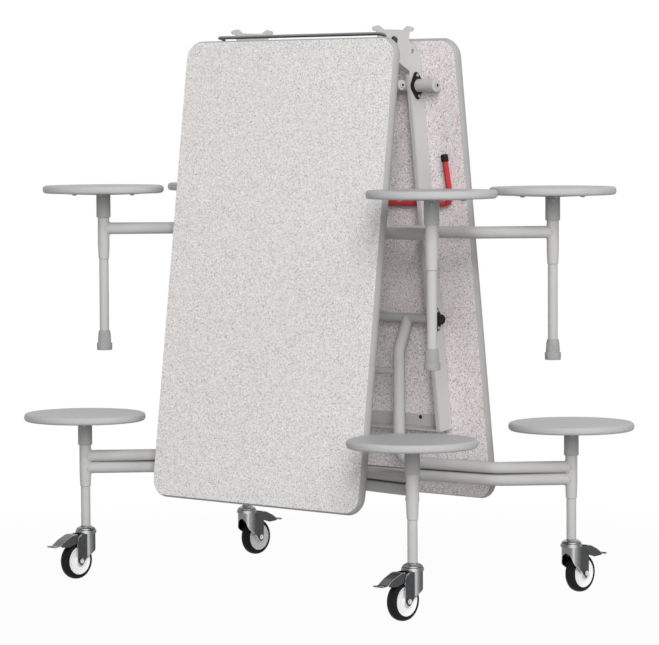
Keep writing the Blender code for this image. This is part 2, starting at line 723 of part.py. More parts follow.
def brake_pedal():
    """A hood over the tyre, around its pivot in the fork, with cheeks that hang beside the tyre."""
    pivot_height = CASTER_HEIGHT - SEAT_GAP - PEDAL_PIVOT_BELOW_HEAD
    reach = PEDAL_REACH - PEDAL_PIVOT_OUT
    drop = pivot_height - WHEEL_RADIUS * 1.86
    eye = PEDAL_PIVOT_RADIUS * 2.0
    arch = [(-eye, 0.0), (-eye * 0.6, eye * 0.75), (reach * 0.10, eye * 0.80), (reach * 0.32, eye * 0.35),
            (reach * 0.56, -drop * 0.28), (reach * 0.80, -drop * 0.86)]
    lip = [(reach, -drop * 0.98), (reach, -drop * 0.98 - PEDAL_WALL * 1.5)]
    under = [(reach * 0.78, -drop * 1.05), (reach * 0.52, -drop * 0.28 - PEDAL_WALL * 1.8),
             (reach * 0.31, eye * 0.35 - PEDAL_WALL * 1.8), (reach * 0.10, eye * 0.80 - PEDAL_WALL * 2.0),
             (eye, -eye * 0.2), (0.0, -eye)]
    width = 2 * (fork_half_gap() - FORK_SIDE_GAP * 0.25)
    pieces = [plate(arch + lip + under, width, ACROSS)]
    cheek = arch + [(reach * 0.76, -drop * 1.02), (reach * 0.30, -drop * 0.90), (0.0, -eye)]
    for sign in (-1, 1):
        pieces.append(plate(cheek, PEDAL_WALL, ACROSS, sign * (width / 2 - PEDAL_WALL / 2 + SEAT_GAP)))
    return combined(pieces, [rod(bore(PEDAL_PIVOT_RADIUS + RUNNING_GAP), 2 * width, ALONG_X)])


def latch_bar():
    """A bent rod around its pivot on the front half: its long run drops behind the hinge horns."""
    x = RAIL_X + LATCH_X_PAST_RAIL
    tail = RAIL_X - RAIL_WALL * 2 - HINGE_GAP - LATCH_RADIUS
    along = -LATCH_PIVOT - LATCH_BAR_PAST_PIN
    level = LATCH_PIVOT_BELOW_UNDERSIDE - LATCH_BAR_BELOW_UNDERSIDE
    right = [(tail, 0, 0), (x, 0, 0), (x, along, 0), (x, along, level)]
    left = [(-px, py, pz) for px, py, pz in reversed(right)]
    return tube(rounded(right + left, LATCH_BEND_RADIUS), LATCH_RADIUS)


def release_lever():
    """A bent rod around its own long run across the rear half, with a handle at each end."""
    x = RAIL_X + LEVER_X_PAST_RAIL
    route = [(-x, -LEVER_HANDLE, 0), (-x, 0, 0), (x, 0, 0), (x, -LEVER_HANDLE, 0)]
    return tube(rounded(route, LEVER_BEND_RADIUS), LEVER_RADIUS)


def lever_grip():
    """A plastic cap for the end of a lever handle, pointing along -Y from the handle's end."""
    inside = bore(LEVER_RADIUS + SEAT_GAP)
    outside = inside + GRIP_WALL
    cap = GRIP_WALL * 2
    profile = [
        (0.0, cap),
        (outside * 0.75, cap),
        (outside, cap * 0.4),
        (outside, cap - GRIP_LENGTH),
        (inside, cap - GRIP_LENGTH),
        (inside, SEAT_GAP),
        (0.0, SEAT_GAP),
    ]
    return turned(profile, ALONG_Y.inverted(), steps=TUBE_SIDES)


def levelling_link():
    """A flat bar with an eye at each end, from the outer stretcher (its origin) to the inner one."""
    eye = STRETCHER_RADIUS + RUNNING_GAP + LINK_EYE_WALL
    bar = plate([(0, -LINK_HALF_WIDTH), (0, LINK_HALF_WIDTH), (-PIVOT_PITCH, LINK_HALF_WIDTH),
                 (-PIVOT_PITCH, -LINK_HALF_WIDTH)], LINK_THICKNESS, ACROSS)
    pieces = [bar]
    drills = []
    for along in (0.0, -PIVOT_PITCH):
        pieces.append(rod(eye, LINK_THICKNESS * 1.5, ALONG_X, (0, along, 0), 16))
        drills.append(rod(bore(STRETCHER_RADIUS + RUNNING_GAP), LINK_THICKNESS * 3, ALONG_X, (0, along, 0)))
    return combined(pieces, drills)


clear_scene()
table = new_collection("folding_stool_table")
shop = new_collection("workshop")

laminate = finish("speckled_laminate", (0.66, 0.65, 0.64), 0.45)
grey_paint = finish("grey_powder_coat", (0.56, 0.56, 0.55), 0.42)
seat_grey = finish("grey_seat_board", (0.50, 0.49, 0.49), 0.30)
black_plastic = finish("black_plastic", (0.02, 0.02, 0.02), 0.5)
red_paint = finish("red_lever_coat", (0.50, 0.06, 0.06), 0.38)
dark_steel = finish("dark_steel", (0.15, 0.16, 0.16), 0.35, 0.8)
zinc = finish("zinc_plate", (0.45, 0.45, 0.46), 0.30, 0.9)
foot_rubber = finish("grey_foot_rubber", (0.38, 0.38, 0.38), 0.6)
hub_plastic = finish("white_hub", (0.75, 0.75, 0.74), 0.4)

bearing_meshes = {place: taken(bearing(PIVOT_TUBES[place][0])) for place in PIVOT_TUBES}
frame_meshes = {place: taken(stool_frame(*place)) for place in PIVOT_TUBES}
seat_mesh = taken(seat())
bracket_mesh = taken(seat_bracket())
foot_mesh = taken(foot())
fork_mesh = taken(caster_fork())
wheel_mesh = taken(wheel())
pedal_mesh = taken(brake_pedal())
grip_mesh = taken(lever_grip())
link_mesh = taken(levelling_link())
top_mesh = taken(table_top())

for side, facing in SIDES.items():
    base = guide(side + "_side", turn=(0, 0, facing))
    half = guide(side + "_half", base, (0, 0, PIN_HEIGHT), (FOLD_TILT - math.pi / 2, 0, 0))
    put_copy(side + "_table_top", top_mesh, laminate, half)
    put(side + "_end_rail", end_rail(side), grey_paint, half)
    for sign in (-1, 1):
        hand_name = hand(side, sign)
        put(f"{side}_{hand_name}_rail", rail(side, sign), grey_paint, half)
        inset = RAIL_WALL + HINGE_GAP if side == "front" else 0.0
        face = RAIL_X - inset + RAIL_WALL / 2 + SEAT_GAP
        for row in ROWS:
            name = f"{side}_{row}_{hand_name}_bearing"
            place = (sign * face, ROWS[row][0], PIVOT_LEVEL)
            bush = put_copy(name, bearing_meshes[side, row], black_plastic, half, place)
            bush.rotation_euler = (0, 0, 0 if sign > 0 else math.pi)

    for row, (along, _) in ROWS.items():
        turn = FOLD_TILT - math.pi / 2
        level = PIVOT_LEVEL
        pivot_y = along * math.cos(turn) - level * math.sin(turn)
        pivot_z = PIN_HEIGHT + along * math.sin(turn) + level * math.cos(turn)
        frame_place = (0, pivot_y, pivot_z)
        frame = put_copy(f"{side}_{row}_frame", frame_meshes[side, row], grey_paint, base, frame_place)
        for sign in (-1, 1):
            name = f"{side}_{row}_{hand(side, sign)}"
            floor = -PIVOT_HEIGHT
            stand = guide(name + "_stool", frame, (sign * STOOL_X, POST_OUTSIDE_PIVOT, floor))
            put_copy(name + "_seat", seat_mesh, seat_grey, stand, (0, 0, SEAT_HEIGHT))
            plate_top = SEAT_HEIGHT - SEAT_THICKNESS - SEAT_GAP
            put_copy(name + "_seat_bracket", bracket_mesh, grey_paint, stand, (0, 0, plate_top))
            if row == "inner":
                put_copy(name + "_foot", foot_mesh, foot_rubber, stand, (0, 0, FOOT_OFF_FLOOR))
                continue
            caster = f"{side}_{hand(side, sign)}"
            put_copy(caster + "_caster_fork", fork_mesh, zinc, stand)
            put_copy(caster + "_wheel", wheel_mesh, hub_plastic, stand, (0, CASTER_TRAIL, WHEEL_RADIUS))
            pedal_height = CASTER_HEIGHT - SEAT_GAP - PEDAL_PIVOT_BELOW_HEAD
            pedal_place = (0, PEDAL_PIVOT_OUT, pedal_height)
            put_copy(caster + "_brake_pedal", pedal_mesh, dark_steel, stand, pedal_place)
        if row == "outer":
            place = (0, -STRUT_BEHIND_PIVOT, -STRETCHER_BELOW_PIVOT)
            link = put_copy(side + "_levelling_link", link_mesh, grey_paint, frame, place)
            link.rotation_euler = (turn, 0, 0)

    if side == "front":
        place = (0, LATCH_PIVOT, UNDERSIDE_ABOVE_PIN - LATCH_PIVOT_BELOW_UNDERSIDE)
        put("latch_bar", latch_bar(), dark_steel, half, place)
    else:
        for sign in (-1, 1):
            put(hand(side, sign) + "_hinge_pin", hinge_pin(sign), dark_steel, half)
        place = (0, LEVER_PLACE, UNDERSIDE_ABOVE_PIN - LEVER_BELOW_UNDERSIDE)
        lever = put("release_lever", release_lever(), red_paint, half, place)
        lever.rotation_euler = (LEVER_REST_TILT, 0, 0)
        for sign in (-1, 1):
            grip_place = (sign * (RAIL_X + LEVER_X_PAST_RAIL), -LEVER_HANDLE, 0)
            put_copy(hand(side, sign) + "_lever_grip", grip_mesh, black_plastic, lever, grip_place)
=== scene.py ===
"""Looks for a mobile folding canteen table with eight round stools, standing folded on its casters.

Metres, +Z up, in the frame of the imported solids: X along the centre hinge, the front half towards -Y.
"""
import itertools
import math

import bmesh
import bpy
import numpy as np
from mathutils import Matrix, Vector
from mathutils.geometry import tessellate_polygon


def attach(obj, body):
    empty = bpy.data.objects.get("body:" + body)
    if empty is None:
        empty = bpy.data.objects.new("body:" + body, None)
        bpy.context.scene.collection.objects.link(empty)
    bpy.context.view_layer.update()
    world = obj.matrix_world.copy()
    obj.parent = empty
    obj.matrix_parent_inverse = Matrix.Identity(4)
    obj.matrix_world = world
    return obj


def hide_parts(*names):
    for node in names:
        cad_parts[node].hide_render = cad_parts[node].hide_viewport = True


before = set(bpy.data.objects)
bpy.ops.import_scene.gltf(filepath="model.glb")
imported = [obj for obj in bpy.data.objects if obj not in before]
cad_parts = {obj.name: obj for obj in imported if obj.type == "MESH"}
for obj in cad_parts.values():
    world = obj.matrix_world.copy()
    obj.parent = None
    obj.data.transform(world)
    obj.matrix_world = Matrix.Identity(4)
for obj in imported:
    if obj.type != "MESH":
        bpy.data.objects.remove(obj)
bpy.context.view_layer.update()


# The studio is a pale floor that runs into a white backdrop, under broad soft lamps.
# The camera stands about nine metres off with a long lens, at the height of the upper stools.
# The floor and backdrop show white, and the floor keeps a faint shadow of the casters.
class Wire:
    """A node's output. Sums on wires become Math nodes, and node() adds any other node to the same tree."""

    def __init__(self, tree, socket=None):
        self.tree = tree
        self.socket = socket

    def node(self, kind, settings=(), sockets=(), out=0):
        """A node of a kind: its settings are made first, then each socket takes a value or a wire."""
        made = self.tree.nodes.new("ShaderNode" + kind)
        for name, value in dict(settings).items():
            setattr(made, name, value)
        for name, value in dict(sockets).items():
            if isinstance(value, Wire):
                value.feeds(made.inputs[name])
            else:
                made.inputs[name].default_value = value
        return Wire(self.tree, made.outputs[out] if made.outputs else None)

    def output(self, name):
        """Another output of the same node."""
        return Wire(self.tree, self.socket.node.outputs[name])

    def feeds(self, socket):
        """Link this output to a socket."""
        self.tree.links.new(self.socket, socket)

    def maths(self, operation, first, second):
        """A Math node on two values or wires."""
        return self.node("Math", {"operation": operation}, {0: first, 1: second})

    def __add__(self, other):
        return self.maths("ADD", self, other)

    def __radd__(self, other):
        return self.maths("ADD", other, self)

    def __sub__(self, other):
        return self.maths("SUBTRACT", self, other)

    def __rsub__(self, other):
        return self.maths("SUBTRACT", other, self)

    def __mul__(self, other):
        return self.maths("MULTIPLY", self, other)

    def __rmul__(self, other):
        return self.maths("MULTIPLY", other, self)

    def between(self, low, high):
        """0 at low, 1 at high and an even, soft step between them; low may be the larger."""
        return self.node("MapRange", {"interpolation_type": "SMOOTHSTEP"},
                         {"Value": self, "From Min": low, "From Max": high})

    def mix(self, none, full):
        """A colour: none where the wire is 0, full where it is 1. Each is a wire or red, green and blue."""
        none, full = (end if isinstance(end, Wire) else (*end, 1.0) for end in (none, full))
        return self.node("Mix", {"data_type": "RGBA"}, {0: self, 6: none, 7: full}, out=2)


def seen_directly(tree):
    """1 for what the camera, a glossy surface or a clear one looks at, and 0 for light that spreads."""
    path = tree.node("LightPath", out="Is Camera Ray")
    return path + path.output("Is Glossy Ray") + path.output("Is Transmission Ray")


def lamp(name, azimuth, elevation, width, height, share):
    """A flat lamp that faces the table's middle, with its angles in degrees from +X and from the floor.
    Its share is the part of full white that it gives there. Glossy surfaces don't mirror it."""
    data = bpy.data.lights.new(name, "AREA")
    data.shape = "RECTANGLE"
    data.size = width
    data.size_y = height
    data.energy = share * (math.pi * LAMP_DISTANCE) ** 2
    round_about, upwards = math.radians(azimuth), math.radians(elevation)
    way = Vector((math.cos(round_about) * math.cos(upwards), math.sin(round_about) * math.cos(upwards),
                  math.sin(upwards)))
    made = bpy.data.objects.new(name, data)
    made.location = way * LAMP_DISTANCE + Vector((0.0, 0.0, TABLE_MIDDLE))
    made.rotation_euler = way.to_track_quat("Z", "Y").to_euler()
    made.visible_glossy = False
    bpy.context.scene.collection.objects.link(made)


def even_turn(count):
    """Even angles round a full turn, without its end."""
    return np.linspace(0.0, 2.0 * np.pi, count, endpoint=False)


IMAGE_WIDTH = 659
SENSOR_WIDTH = 36.0
FOCAL_LENGTH_PIXELS = 3418.0
CAMERA_PLACE = (6.170, -6.584, 1.240)
azimuth, pitch, roll = (math.radians(angle) for angle in (43.03, 3.435, -0.28))
level = Vector((math.cos(azimuth), math.sin(azimuth), 0.0))
ahead = Vector((-math.sin(azimuth) * math.cos(pitch), math.cos(azimuth) * math.cos(pitch),
                -math.sin(pitch)))
above = level.cross(ahead)
right = level * math.cos(roll) + above * math.sin(roll)
up = above * math.cos(roll) - level * math.sin(roll)
camera = bpy.data.objects.new("camera", bpy.data.cameras.new("camera"))
camera.data.sensor_width = SENSOR_WIDTH
camera.data.lens = FOCAL_LENGTH_PIXELS * SENSOR_WIDTH / IMAGE_WIDTH
camera.data.clip_end = 100.0
camera_axes = Matrix((right, up, -ahead)).transposed().to_4x4()
camera.matrix_world = Matrix.Translation(CAMERA_PLACE) @ camera_axes
bpy.context.scene.collection.objects.link(camera)
bpy.context.scene.camera = camera
bpy.context.scene.view_settings.view_transform = "Standard"

LAMP_DISTANCE = 20.0
TABLE_MIDDLE = 0.75
lamp("key_lamp", -44.0, 20.0, 5.3, 13.3, 0.85)
lamp("right_lamp", -8.0, 32.0, 8.9, 8.9, 0.20)
lamp("back_lamp", 130.0, 30.0, 11.1, 11.1, 0.25)

AMBIENT_LIGHT = 0.41
WHITE = (1.0, 1.0, 1.0, 1.0)
backdrop = bpy.data.worlds.new("white_backdrop")
bpy.context.scene.world = backdrop
backdrop.use_nodes = True
sky = backdrop.node_tree.nodes["Background"]
sky.inputs["Color"].default_value = WHITE
skylight = AMBIENT_LIGHT + (1.0 - AMBIENT_LIGHT) * seen_directly(Wire(backdrop.node_tree))
skylight.feeds(sky.inputs["Strength"])

FLOOR_RADIUS = 12.0
FLOOR_PAINT = (0.46, 0.46, 0.46, 1.0)
SHADOW_SHARE = 0.04
SHADOW_REACH = (0.7, 2.6)
floor_finish = bpy.data.materials.new("pale_floor")
floor_finish.use_nodes = True
floor_finish.node_tree.nodes.clear()
on_floor = Wire(floor_finish.node_tree).node("TexCoord", out="Object")
away = on_floor.node("VectorMath", {"operation": "LENGTH"}, {0: on_floor}, out="Value")
whiteness = seen_directly(on_floor) * (1.0 - SHADOW_SHARE + SHADOW_SHARE * away.between(*SHADOW_REACH))
paint = on_floor.node("BsdfDiffuse", sockets={"Color": FLOOR_PAINT})
white = on_floor.node("Emission", sockets={"Color": WHITE, "Strength": 1.0})
shown = on_floor.node("MixShader", sockets={0: whiteness, 1: paint, 2: white})
on_floor.node("OutputMaterial", sockets={"Surface": shown})
turn = even_turn(64)
rim = np.stack([np.cos(turn), np.sin(turn), np.zeros_like(turn)], 1) * FLOOR_RADIUS
floor = bpy.data.objects.new("floor", bpy.data.meshes.new("floor"))
floor.data.from_pydata(rim.tolist(), [], [list(range(len(rim)))])
floor.data.materials.append(floor_finish)
bpy.context.scene.collection.objects.link(floor)


# Each half of the top is a 25 mm board, faced on both sides with a matt laminate of grey and rose flecks.
# A smooth moulded band is pressed round its edge. The halves stand on end and lean to the centre hinge.
FOLD_TILT = math.radians(7.0)
PIN_HEIGHT = 1.438305
TOP_WIDTH = 0.753
TOP_START, TOP_END = 0.0085, 1.2275
TOP_LOW, TOP_HIGH = 0.100, 0.125
TOP_CORNER = 0.050
BAND_CROWN = 0.0050
BAND_BACK = 0.0012
BAND_UNDER = 0.0001
LAMINATE_EASE = 0.0003
SIDES = {"front": -1, "rear": 1}
PLATE_CRISP = 10.0


def rounded(points, radius, closed=False, steps=8):
    """A path with arcs for corners. An arc starts and ends radius / tan(half the corner's angle) from the
    corner, or just under half of a short leg, and turns evenly about a centre on the corner's bisector."""
    corner = np.asarray(points, float)
    radius = np.broadcast_to(radius, len(corner))[:, None]
    back = np.roll(corner, 1, 0) - corner
    forth = np.roll(corner, -1, 0) - corner
    back_length = np.linalg.norm(back, axis=1, keepdims=True)
    forth_length = np.linalg.norm(forth, axis=1, keepdims=True)
    back = back / back_length
    forth = forth / forth_length
    half = np.arccos(np.clip((back * forth).sum(1, keepdims=True), -1.0, 1.0)) / 2
    half = np.clip(half, 1e-4, np.pi / 2 - 1e-4)
    reach = np.minimum(radius / np.tan(half), 0.48 * np.minimum(back_length, forth_length))
    bisector = back + forth
    bisector = bisector / np.maximum(np.linalg.norm(bisector, axis=1, keepdims=True), 1e-9)
    centre = bisector * reach / np.cos(half)
    first = (back * reach - centre)[:, None]
    last = (forth * reach - centre)[:, None]
    sweep = (np.pi - 2 * half)[:, None]
    share = np.linspace(0.0, 1.0, steps + 1)[None, :, None]
    spokes = (np.sin((1 - share) * sweep) * first + np.sin(share * sweep) * last) / np.sin(sweep)
    arcs = (corner + centre)[:, None] + spokes
    if closed:
        return arcs.reshape(-1, corner.shape[1])
    return np.concatenate([corner[:1], arcs[1:-1].reshape(-1, corner.shape[1]), corner[-1:]])


def box_outline(side, low, high, radius, steps):
    """A rectangle from -side to side and from low to high, with round corners."""
    return rounded([(-side, low), (side, low), (side, high), (-side, high)], radius, True, steps)


def skin(grid, round_rows=False, round_columns=False):
    """A grid of points with quads between neighbours, also across the seam of a round direction."""
    rows, columns = grid.shape[:2]
    index = np.arange(rows * columns).reshape(rows, columns)
    if round_rows:
        index = np.concatenate([index, index[:1]])
    if round_columns:
        index = np.concatenate([index, index[:, :1]], 1)
    quads = np.stack([index[:-1, :-1], index[:-1, 1:], index[1:, 1:], index[1:, :-1]], -1)
    return grid.reshape(-1, 3), quads.reshape(-1, 4).tolist()


def unit(vectors):
    """Each vector divided by its own length."""
    return np.asarray(vectors, float) / np.linalg.norm(vectors, axis=-1, keepdims=True)


def facing_out(outline):
    """Unit vectors in an outline's plane, square to it: its direction turned a quarter to the right."""
    along = np.roll(outline, -1, 0) - np.roll(outline, 1, 0)
    return unit(np.stack([along[:, 1], -along[:, 0]], 1))


def pressed(outline, thickness, ease, holes=()):
    """A plate about height zero, as (along, across, height). A rim with two quarter rounds of the ease is
    carried round the outline and round each hole, and flat faces fill the space inside."""
    angle = np.linspace(0.0, np.pi / 2, 5)
    inset = ease * np.sin(angle) - ease
    height = thickness / 2 - ease + ease * np.cos(angle)
    inset = np.concatenate([inset, inset[::-1]])[:, None, None]
    height = np.concatenate([height, -height[::-1]])
    skins, rims = [], []
    for loop, is_hole in [(outline, False)] + [(hole, True) for hole in holes]:
        loop = np.asarray(loop, float)
        nxt = np.roll(loop, -1, 0)
        turns_left = (loop[:, 0] * nxt[:, 1] - nxt[:, 0] * loop[:, 1]).sum() > 0
        if turns_left == is_hole:
            loop = loop[::-1]
        flat = loop[None] + inset * facing_out(loop)[None]
        grid = np.concatenate([flat, np.broadcast_to(height[:, None, None], (*flat.shape[:2], 1))], 2)
        skins.append(skin(grid, round_columns=True))
        rims.append(grid)
    for row in (0, -1):
        loops = [grid[row] for grid in rims]
        faces = tessellate_polygon([[Vector(point) for point in loop] for loop in loops])
        skins.append((np.concatenate(loops), [list(face) for face in faces]))
    return skins


def moved(skins, shift, order=(0, 1, 2)):
    """Skins with their three columns in another order, such as height first, and then shifted."""
    return [(points[:, order] + shift, faces) for points, faces in skins]


def on_half(side, origin=(0.0, 0.0, PIN_HEIGHT)):
    """Places (x, distance from the hinge, height over the pin) of the flat half on the folded table."""
    sign = SIDES[side]
    axes = np.array([(sign, 0.0, 0.0),
                     (0.0, sign * math.sin(FOLD_TILT), -math.cos(FOLD_TILT)),
                     (0.0, sign * math.cos(FOLD_TILT), math.sin(FOLD_TILT))])
    return lambda points: np.asarray(points, float) @ axes + origin


def solid(name, skins, place, finish, body, stands_for=(), crisp=38.0, painted_light=None):
    """One piece from its skins, put in place by a function: doubles merged, faces turned outwards, edges
    over the crisp angle left sharp. Plates take a crisp angle below the steps of their rims, or their broad
    faces would shade as if they were bowed. A painted_light function turns points and normals into an
    attribute of painted light and shade for the piece's finish."""
    faces, count = [], 0
    for points, skin_faces in skins:
        faces += [[count + corner for corner in face] for face in skin_faces]
        count += len(points)
    mesh = bpy.data.meshes.new(name)
    mesh.from_pydata(place(np.concatenate([points for points, _ in skins])).tolist(), [], faces)
    work = bmesh.new()
    work.from_mesh(mesh)
    bmesh.ops.remove_doubles(work, verts=work.verts, dist=2e-6)
    bmesh.ops.recalc_face_normals(work, faces=work.faces)
    work.to_mesh(mesh)
    work.free()
    mesh.materials.append(finish)
    mesh.shade_smooth()
    mesh.set_sharp_from_angle(angle=math.radians(crisp))
    if painted_light:
        points, normals = np.empty((2, len(mesh.vertices) * 3))
        mesh.vertices.foreach_get("co", points)
        mesh.vertices.foreach_get("normal", normals)
        values = painted_light(points.reshape(-1, 3), normals.reshape(-1, 3))
        mesh.attributes.new("painted_light", "FLOAT", "POINT").data.foreach_set("value", values)
    piece = bpy.data.objects.new(name, mesh)
    bpy.context.scene.collection.objects.link(piece)
    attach(piece, body)
    if stands_for:
        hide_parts(*stands_for)


def new_finish(name):
    """A new material, and a wire that carries a point's place on the piece."""
    material = bpy.data.materials.new(name)
    material.use_nodes = True
    return material, Wire(material.node_tree).node("TexCoord", out="Object")


def grain(place, scale, detail=2.0):
    """Soft noise about one half, with features of about 1 / scale metres."""
    return place.node("TexNoise", sockets={"Vector": place, "Scale": scale, "Detail": detail}, out=0)


def lay(material, sockets, height, depth):
    """Set or link the shader's sockets, and raise the surface by a height wire times a depth in metres."""
    shader = material.node_tree.nodes["Principled BSDF"]
    for name, value in sockets.items():
        if isinstance(value, Wire):
            value.feeds(shader.inputs[name])
        else:
            shader.inputs[name].default_value = value
    bump = height.node("Bump", sockets={"Height": height, "Distance": depth, "Strength": 1.0})
    bump.feeds(shader.inputs["Normal"])


def coating(name, deep, light, cloud, rough, peel, gloss=0.5, metal=0.0, coat=(0.0, 0.03), painted_light=None):
    """A finish that drifts between a deep and a light colour with a cloud of noise. Its roughness is a least
    value plus a swing times a second noise, and its peel is a third noise times a depth; each noise is a
    scale and a detail. A coat is a clear layer's weight and roughness. With a painted_light colour, it
    turns to that painted shade where the piece's painted_light attribute is 1."""
    material, place = new_finish(name)
    colour = grain(place, *cloud).mix(deep, light)
    if painted_light:
        colour = place.node("Attribute", {"attribute_name": "painted_light"}, out="Fac").mix(colour, painted_light)
    least, swing, *fine = rough
    *bumps, depth = peel
    lay(material,
        {"Base Color": colour, "Roughness": least + swing * grain(place, *fine), "Specular IOR Level": gloss,
         "Metallic": metal, "Coat Weight": coat[0], "Coat Roughness": coat[1]},
        grain(place, *bumps), depth)
    return material


def speckle(name, size, ground, dark, rose, pale):
    """A laminate: cells of a given size take one of four colours by chance, over a finer grain of three."""
    material, place = new_finish(name)
    flecks = place.node("TexVoronoi", sockets={"Vector": place, "Scale": 1.0 / size}, out="Color")
    chance = flecks.node("SeparateColor", sockets={"Color": flecks}, out="Red")
    inside = flecks.output("Distance").between(0.70, 0.30)
    fines = place.node("TexVoronoi", sockets={"Vector": place, "Scale": 2.3 / size}, out="Color")
    fine_chance = fines.node("SeparateColor", sockets={"Color": fines}, out="Blue")
    colour = (fine_chance.between(0.74, 0.78) * 0.6).mix(ground, dark)
    colour = (fine_chance.between(0.24, 0.20) * 0.8).mix(colour, pale)
    colour = (chance.between(0.66, 0.70) * inside).mix(colour, rose)
    colour = (chance.between(0.86, 0.89) * inside).mix(colour, dark)
    colour = (chance.between(0.22, 0.18) * inside).mix(colour, pale)
    roughness = 0.46 + 0.12 * grain(place, 120.0)
    lay(material, {"Base Color": colour, "Roughness": roughness, "Specular IOR Level": 0.15},
        grain(place, 900.0, 3.0), 0.00010)
    return material


top_laminate = speckle("speckled_top_laminate", 0.0029, ground=(0.70, 0.69, 0.677), dark=(0.34, 0.325, 0.32),
                       rose=(0.66, 0.605, 0.592), pale=(0.88, 0.87, 0.857))
# The back face's laminate has rosier, larger flecks, and is a paler copy of the top one: painted light
# lifting its shaded face.
back_laminate = speckle("speckled_back_laminate", 0.0036, ground=(0.765, 0.714, 0.716),
                        dark=(0.335, 0.300, 0.305), rose=(0.765, 0.649, 0.659), pale=(0.96, 0.93, 0.928))
edge_band = coating("grey_edge_band", (0.345, 0.343, 0.339), (0.38, 0.378, 0.374), cloud=(30.0, 3.0),
                    rough=(0.40, 0.12, 200.0), peel=(600.0, 0.00006), gloss=0.15)


def top_outline(inset):
    """The board's outline, drawn in by an inset, with round corners."""
    return box_outline(TOP_WIDTH / 2 - inset, TOP_START + inset, TOP_END - inset, TOP_CORNER - inset, 16)


def band_round(outline, thickness):
    """The edge band: a section whose outer side falls back by the square of the height, so that it is crowned
    between the two faces, carried round the outline square to it."""
    rise = np.linspace(1.0, -1.0, 21)
    crown = np.stack([-BAND_CROWN * rise ** 2, (thickness / 2 - BAND_UNDER) * rise], 1)
    section = np.concatenate([crown, crown[[-1, 0]] - (BAND_BACK, 0.0)])
    flat = outline[None] + section[:, 0, None, None] * facing_out(outline)[None]
    height = np.broadcast_to(section[:, 1, None, None], (*flat.shape[:2], 1))
    return skin(np.concatenate([flat, height], 2), True, True)


thickness = TOP_HIGH - TOP_LOW
for side in SIDES:
    for name, finish, height, stands_for in (
            ("top", top_laminate, TOP_HIGH - thickness / 4, [f"{side}_table_top"]),
            ("back", back_laminate, TOP_LOW + thickness / 4, [])):
        sheet = pressed(top_outline(BAND_CROWN), thickness / 2, LAMINATE_EASE)
        solid(f"{side}_{name}_laminate", moved(sheet, (0.0, 0.0, height)), on_half(side), finish,
              f"{side}_half", stands_for, PLATE_CRISP)
    band = moved([band_round(top_outline(0.0), thickness)], (0.0, 0.0, TOP_LOW + thickness / 2))
    solid(f"{side}_edge_band", band, on_half(side), edge_band, f"{side}_half")


# Two pressed steel channels run under each half, with a flat angle between their outer ends.
# The rear pair grows into winged hinge plates with horns and notches, the front pair into round knuckles.
# The steel has the frames' light grey powder coat with a faint orange peel; here it is a paler copy, painted
# light.
HANDS = {"left": -1, "right": 1}
RAIL_X = {"front": 0.249, "rear": 0.254}
RAIL_WALL = 0.004
RAIL_TOP, RAIL_LOW = 0.0997, 0.050
RAIL_START, RAIL_END = 0.0965, 1.0425
RAIL_FLANGE = 0.010
WEB_TOP, WEB_LOW = RAIL_TOP - 0.001, RAIL_LOW + 0.001
FLANGE_WALL = 0.003
FLANGE_END = RAIL_END - 0.001
ANGLE_LEG = 0.034
HEIGHT_FIRST = (2, 0, 1)
PIVOTS = {"inner": 0.1265, "outer": 0.7435}
PIVOT_LEVEL = 0.071
PIVOT_TUBES = {("front", "inner"): (0.013, 0.360), ("rear", "inner"): (0.017, 0.3266),
               ("front", "outer"): (0.0125, 0.277), ("rear", "outer"): (0.0125, 0.277)}
TUBE_CLEARANCE = 0.0012
BOLT_HOLE, LATCH_HOLE, LEVER_HOLE, HORN_HOLE = 0.0074, 0.0056, 0.0084, 0.0062
HORN_HOLE_AT = (0.0735, -0.0280)
LATCH_AT = (0.066, 0.070)
LEVER_AT = (0.439, 0.087)
KNUCKLE_RADIUS = 0.0154


def powder_coat(name, level):
    """A sprayed grey of a given level, a little warm and cloudy, with a fine orange peel.
    Where a piece's painted_light attribute says so, it darkens to a painted shade, as in a crease between
    tubes."""
    deep, light = (level * share * np.array((1.0, 0.993, 0.98)) for share in (0.96, 1.04))
    return coating(name, deep, light, cloud=(14.0, 3.0), rough=(0.34, 0.16, 260.0),
                   peel=(420.0, 1.0, 0.00008), gloss=0.10, painted_light=(0.060, 0.059, 0.058))


grey_powder_coat = powder_coat("grey_powder_coat", 0.4525)
# The channels' coat is a paler copy of the frames' coat: painted light on their faces.
lightened_channel_coat = powder_coat("grey_channel_coat_painted_light", 0.495)


def circle(centre, radius, points=24):
    """A round outline: points at even angles, a radius from the centre."""
    angle = even_turn(points)
    return np.asarray(centre) + radius * np.stack([np.cos(angle), np.sin(angle)], 1)


def upright(across, above):
    """A point measured upright from the pin of the folded table, turned by the tilt onto the flat half."""
    return (across * math.sin(FOLD_TILT) - above * math.cos(FOLD_TILT),
            across * math.cos(FOLD_TILT) + above * math.sin(FOLD_TILT))


def winged_web():
    """Outline of a rear channel's web, with the two horns of its hinge plate as mirror images."""
    wing = [(0.0368, 0.027), (0.0528, 0.037), (0.0608, 0.037), (0.0784, 0.0335), (0.080, 0.0285),
            (0.076, 0.0235), (0.0635, 0.0225), (0.0595, 0.0085), (0.0635, -0.0055)]
    left = [upright(-0.0595, -0.0165)] + [upright(-across, above) for across, above in reversed(wing)]
    right = [upright(across, above) for across, above in wing] + [upright(0.077, -0.009), (0.0565, WEB_TOP)]
    web = [(RAIL_END, WEB_TOP), (RAIL_END, WEB_LOW), (0.0865, WEB_LOW)]
    return rounded(left + right + web, 0.0020, closed=True, steps=4)


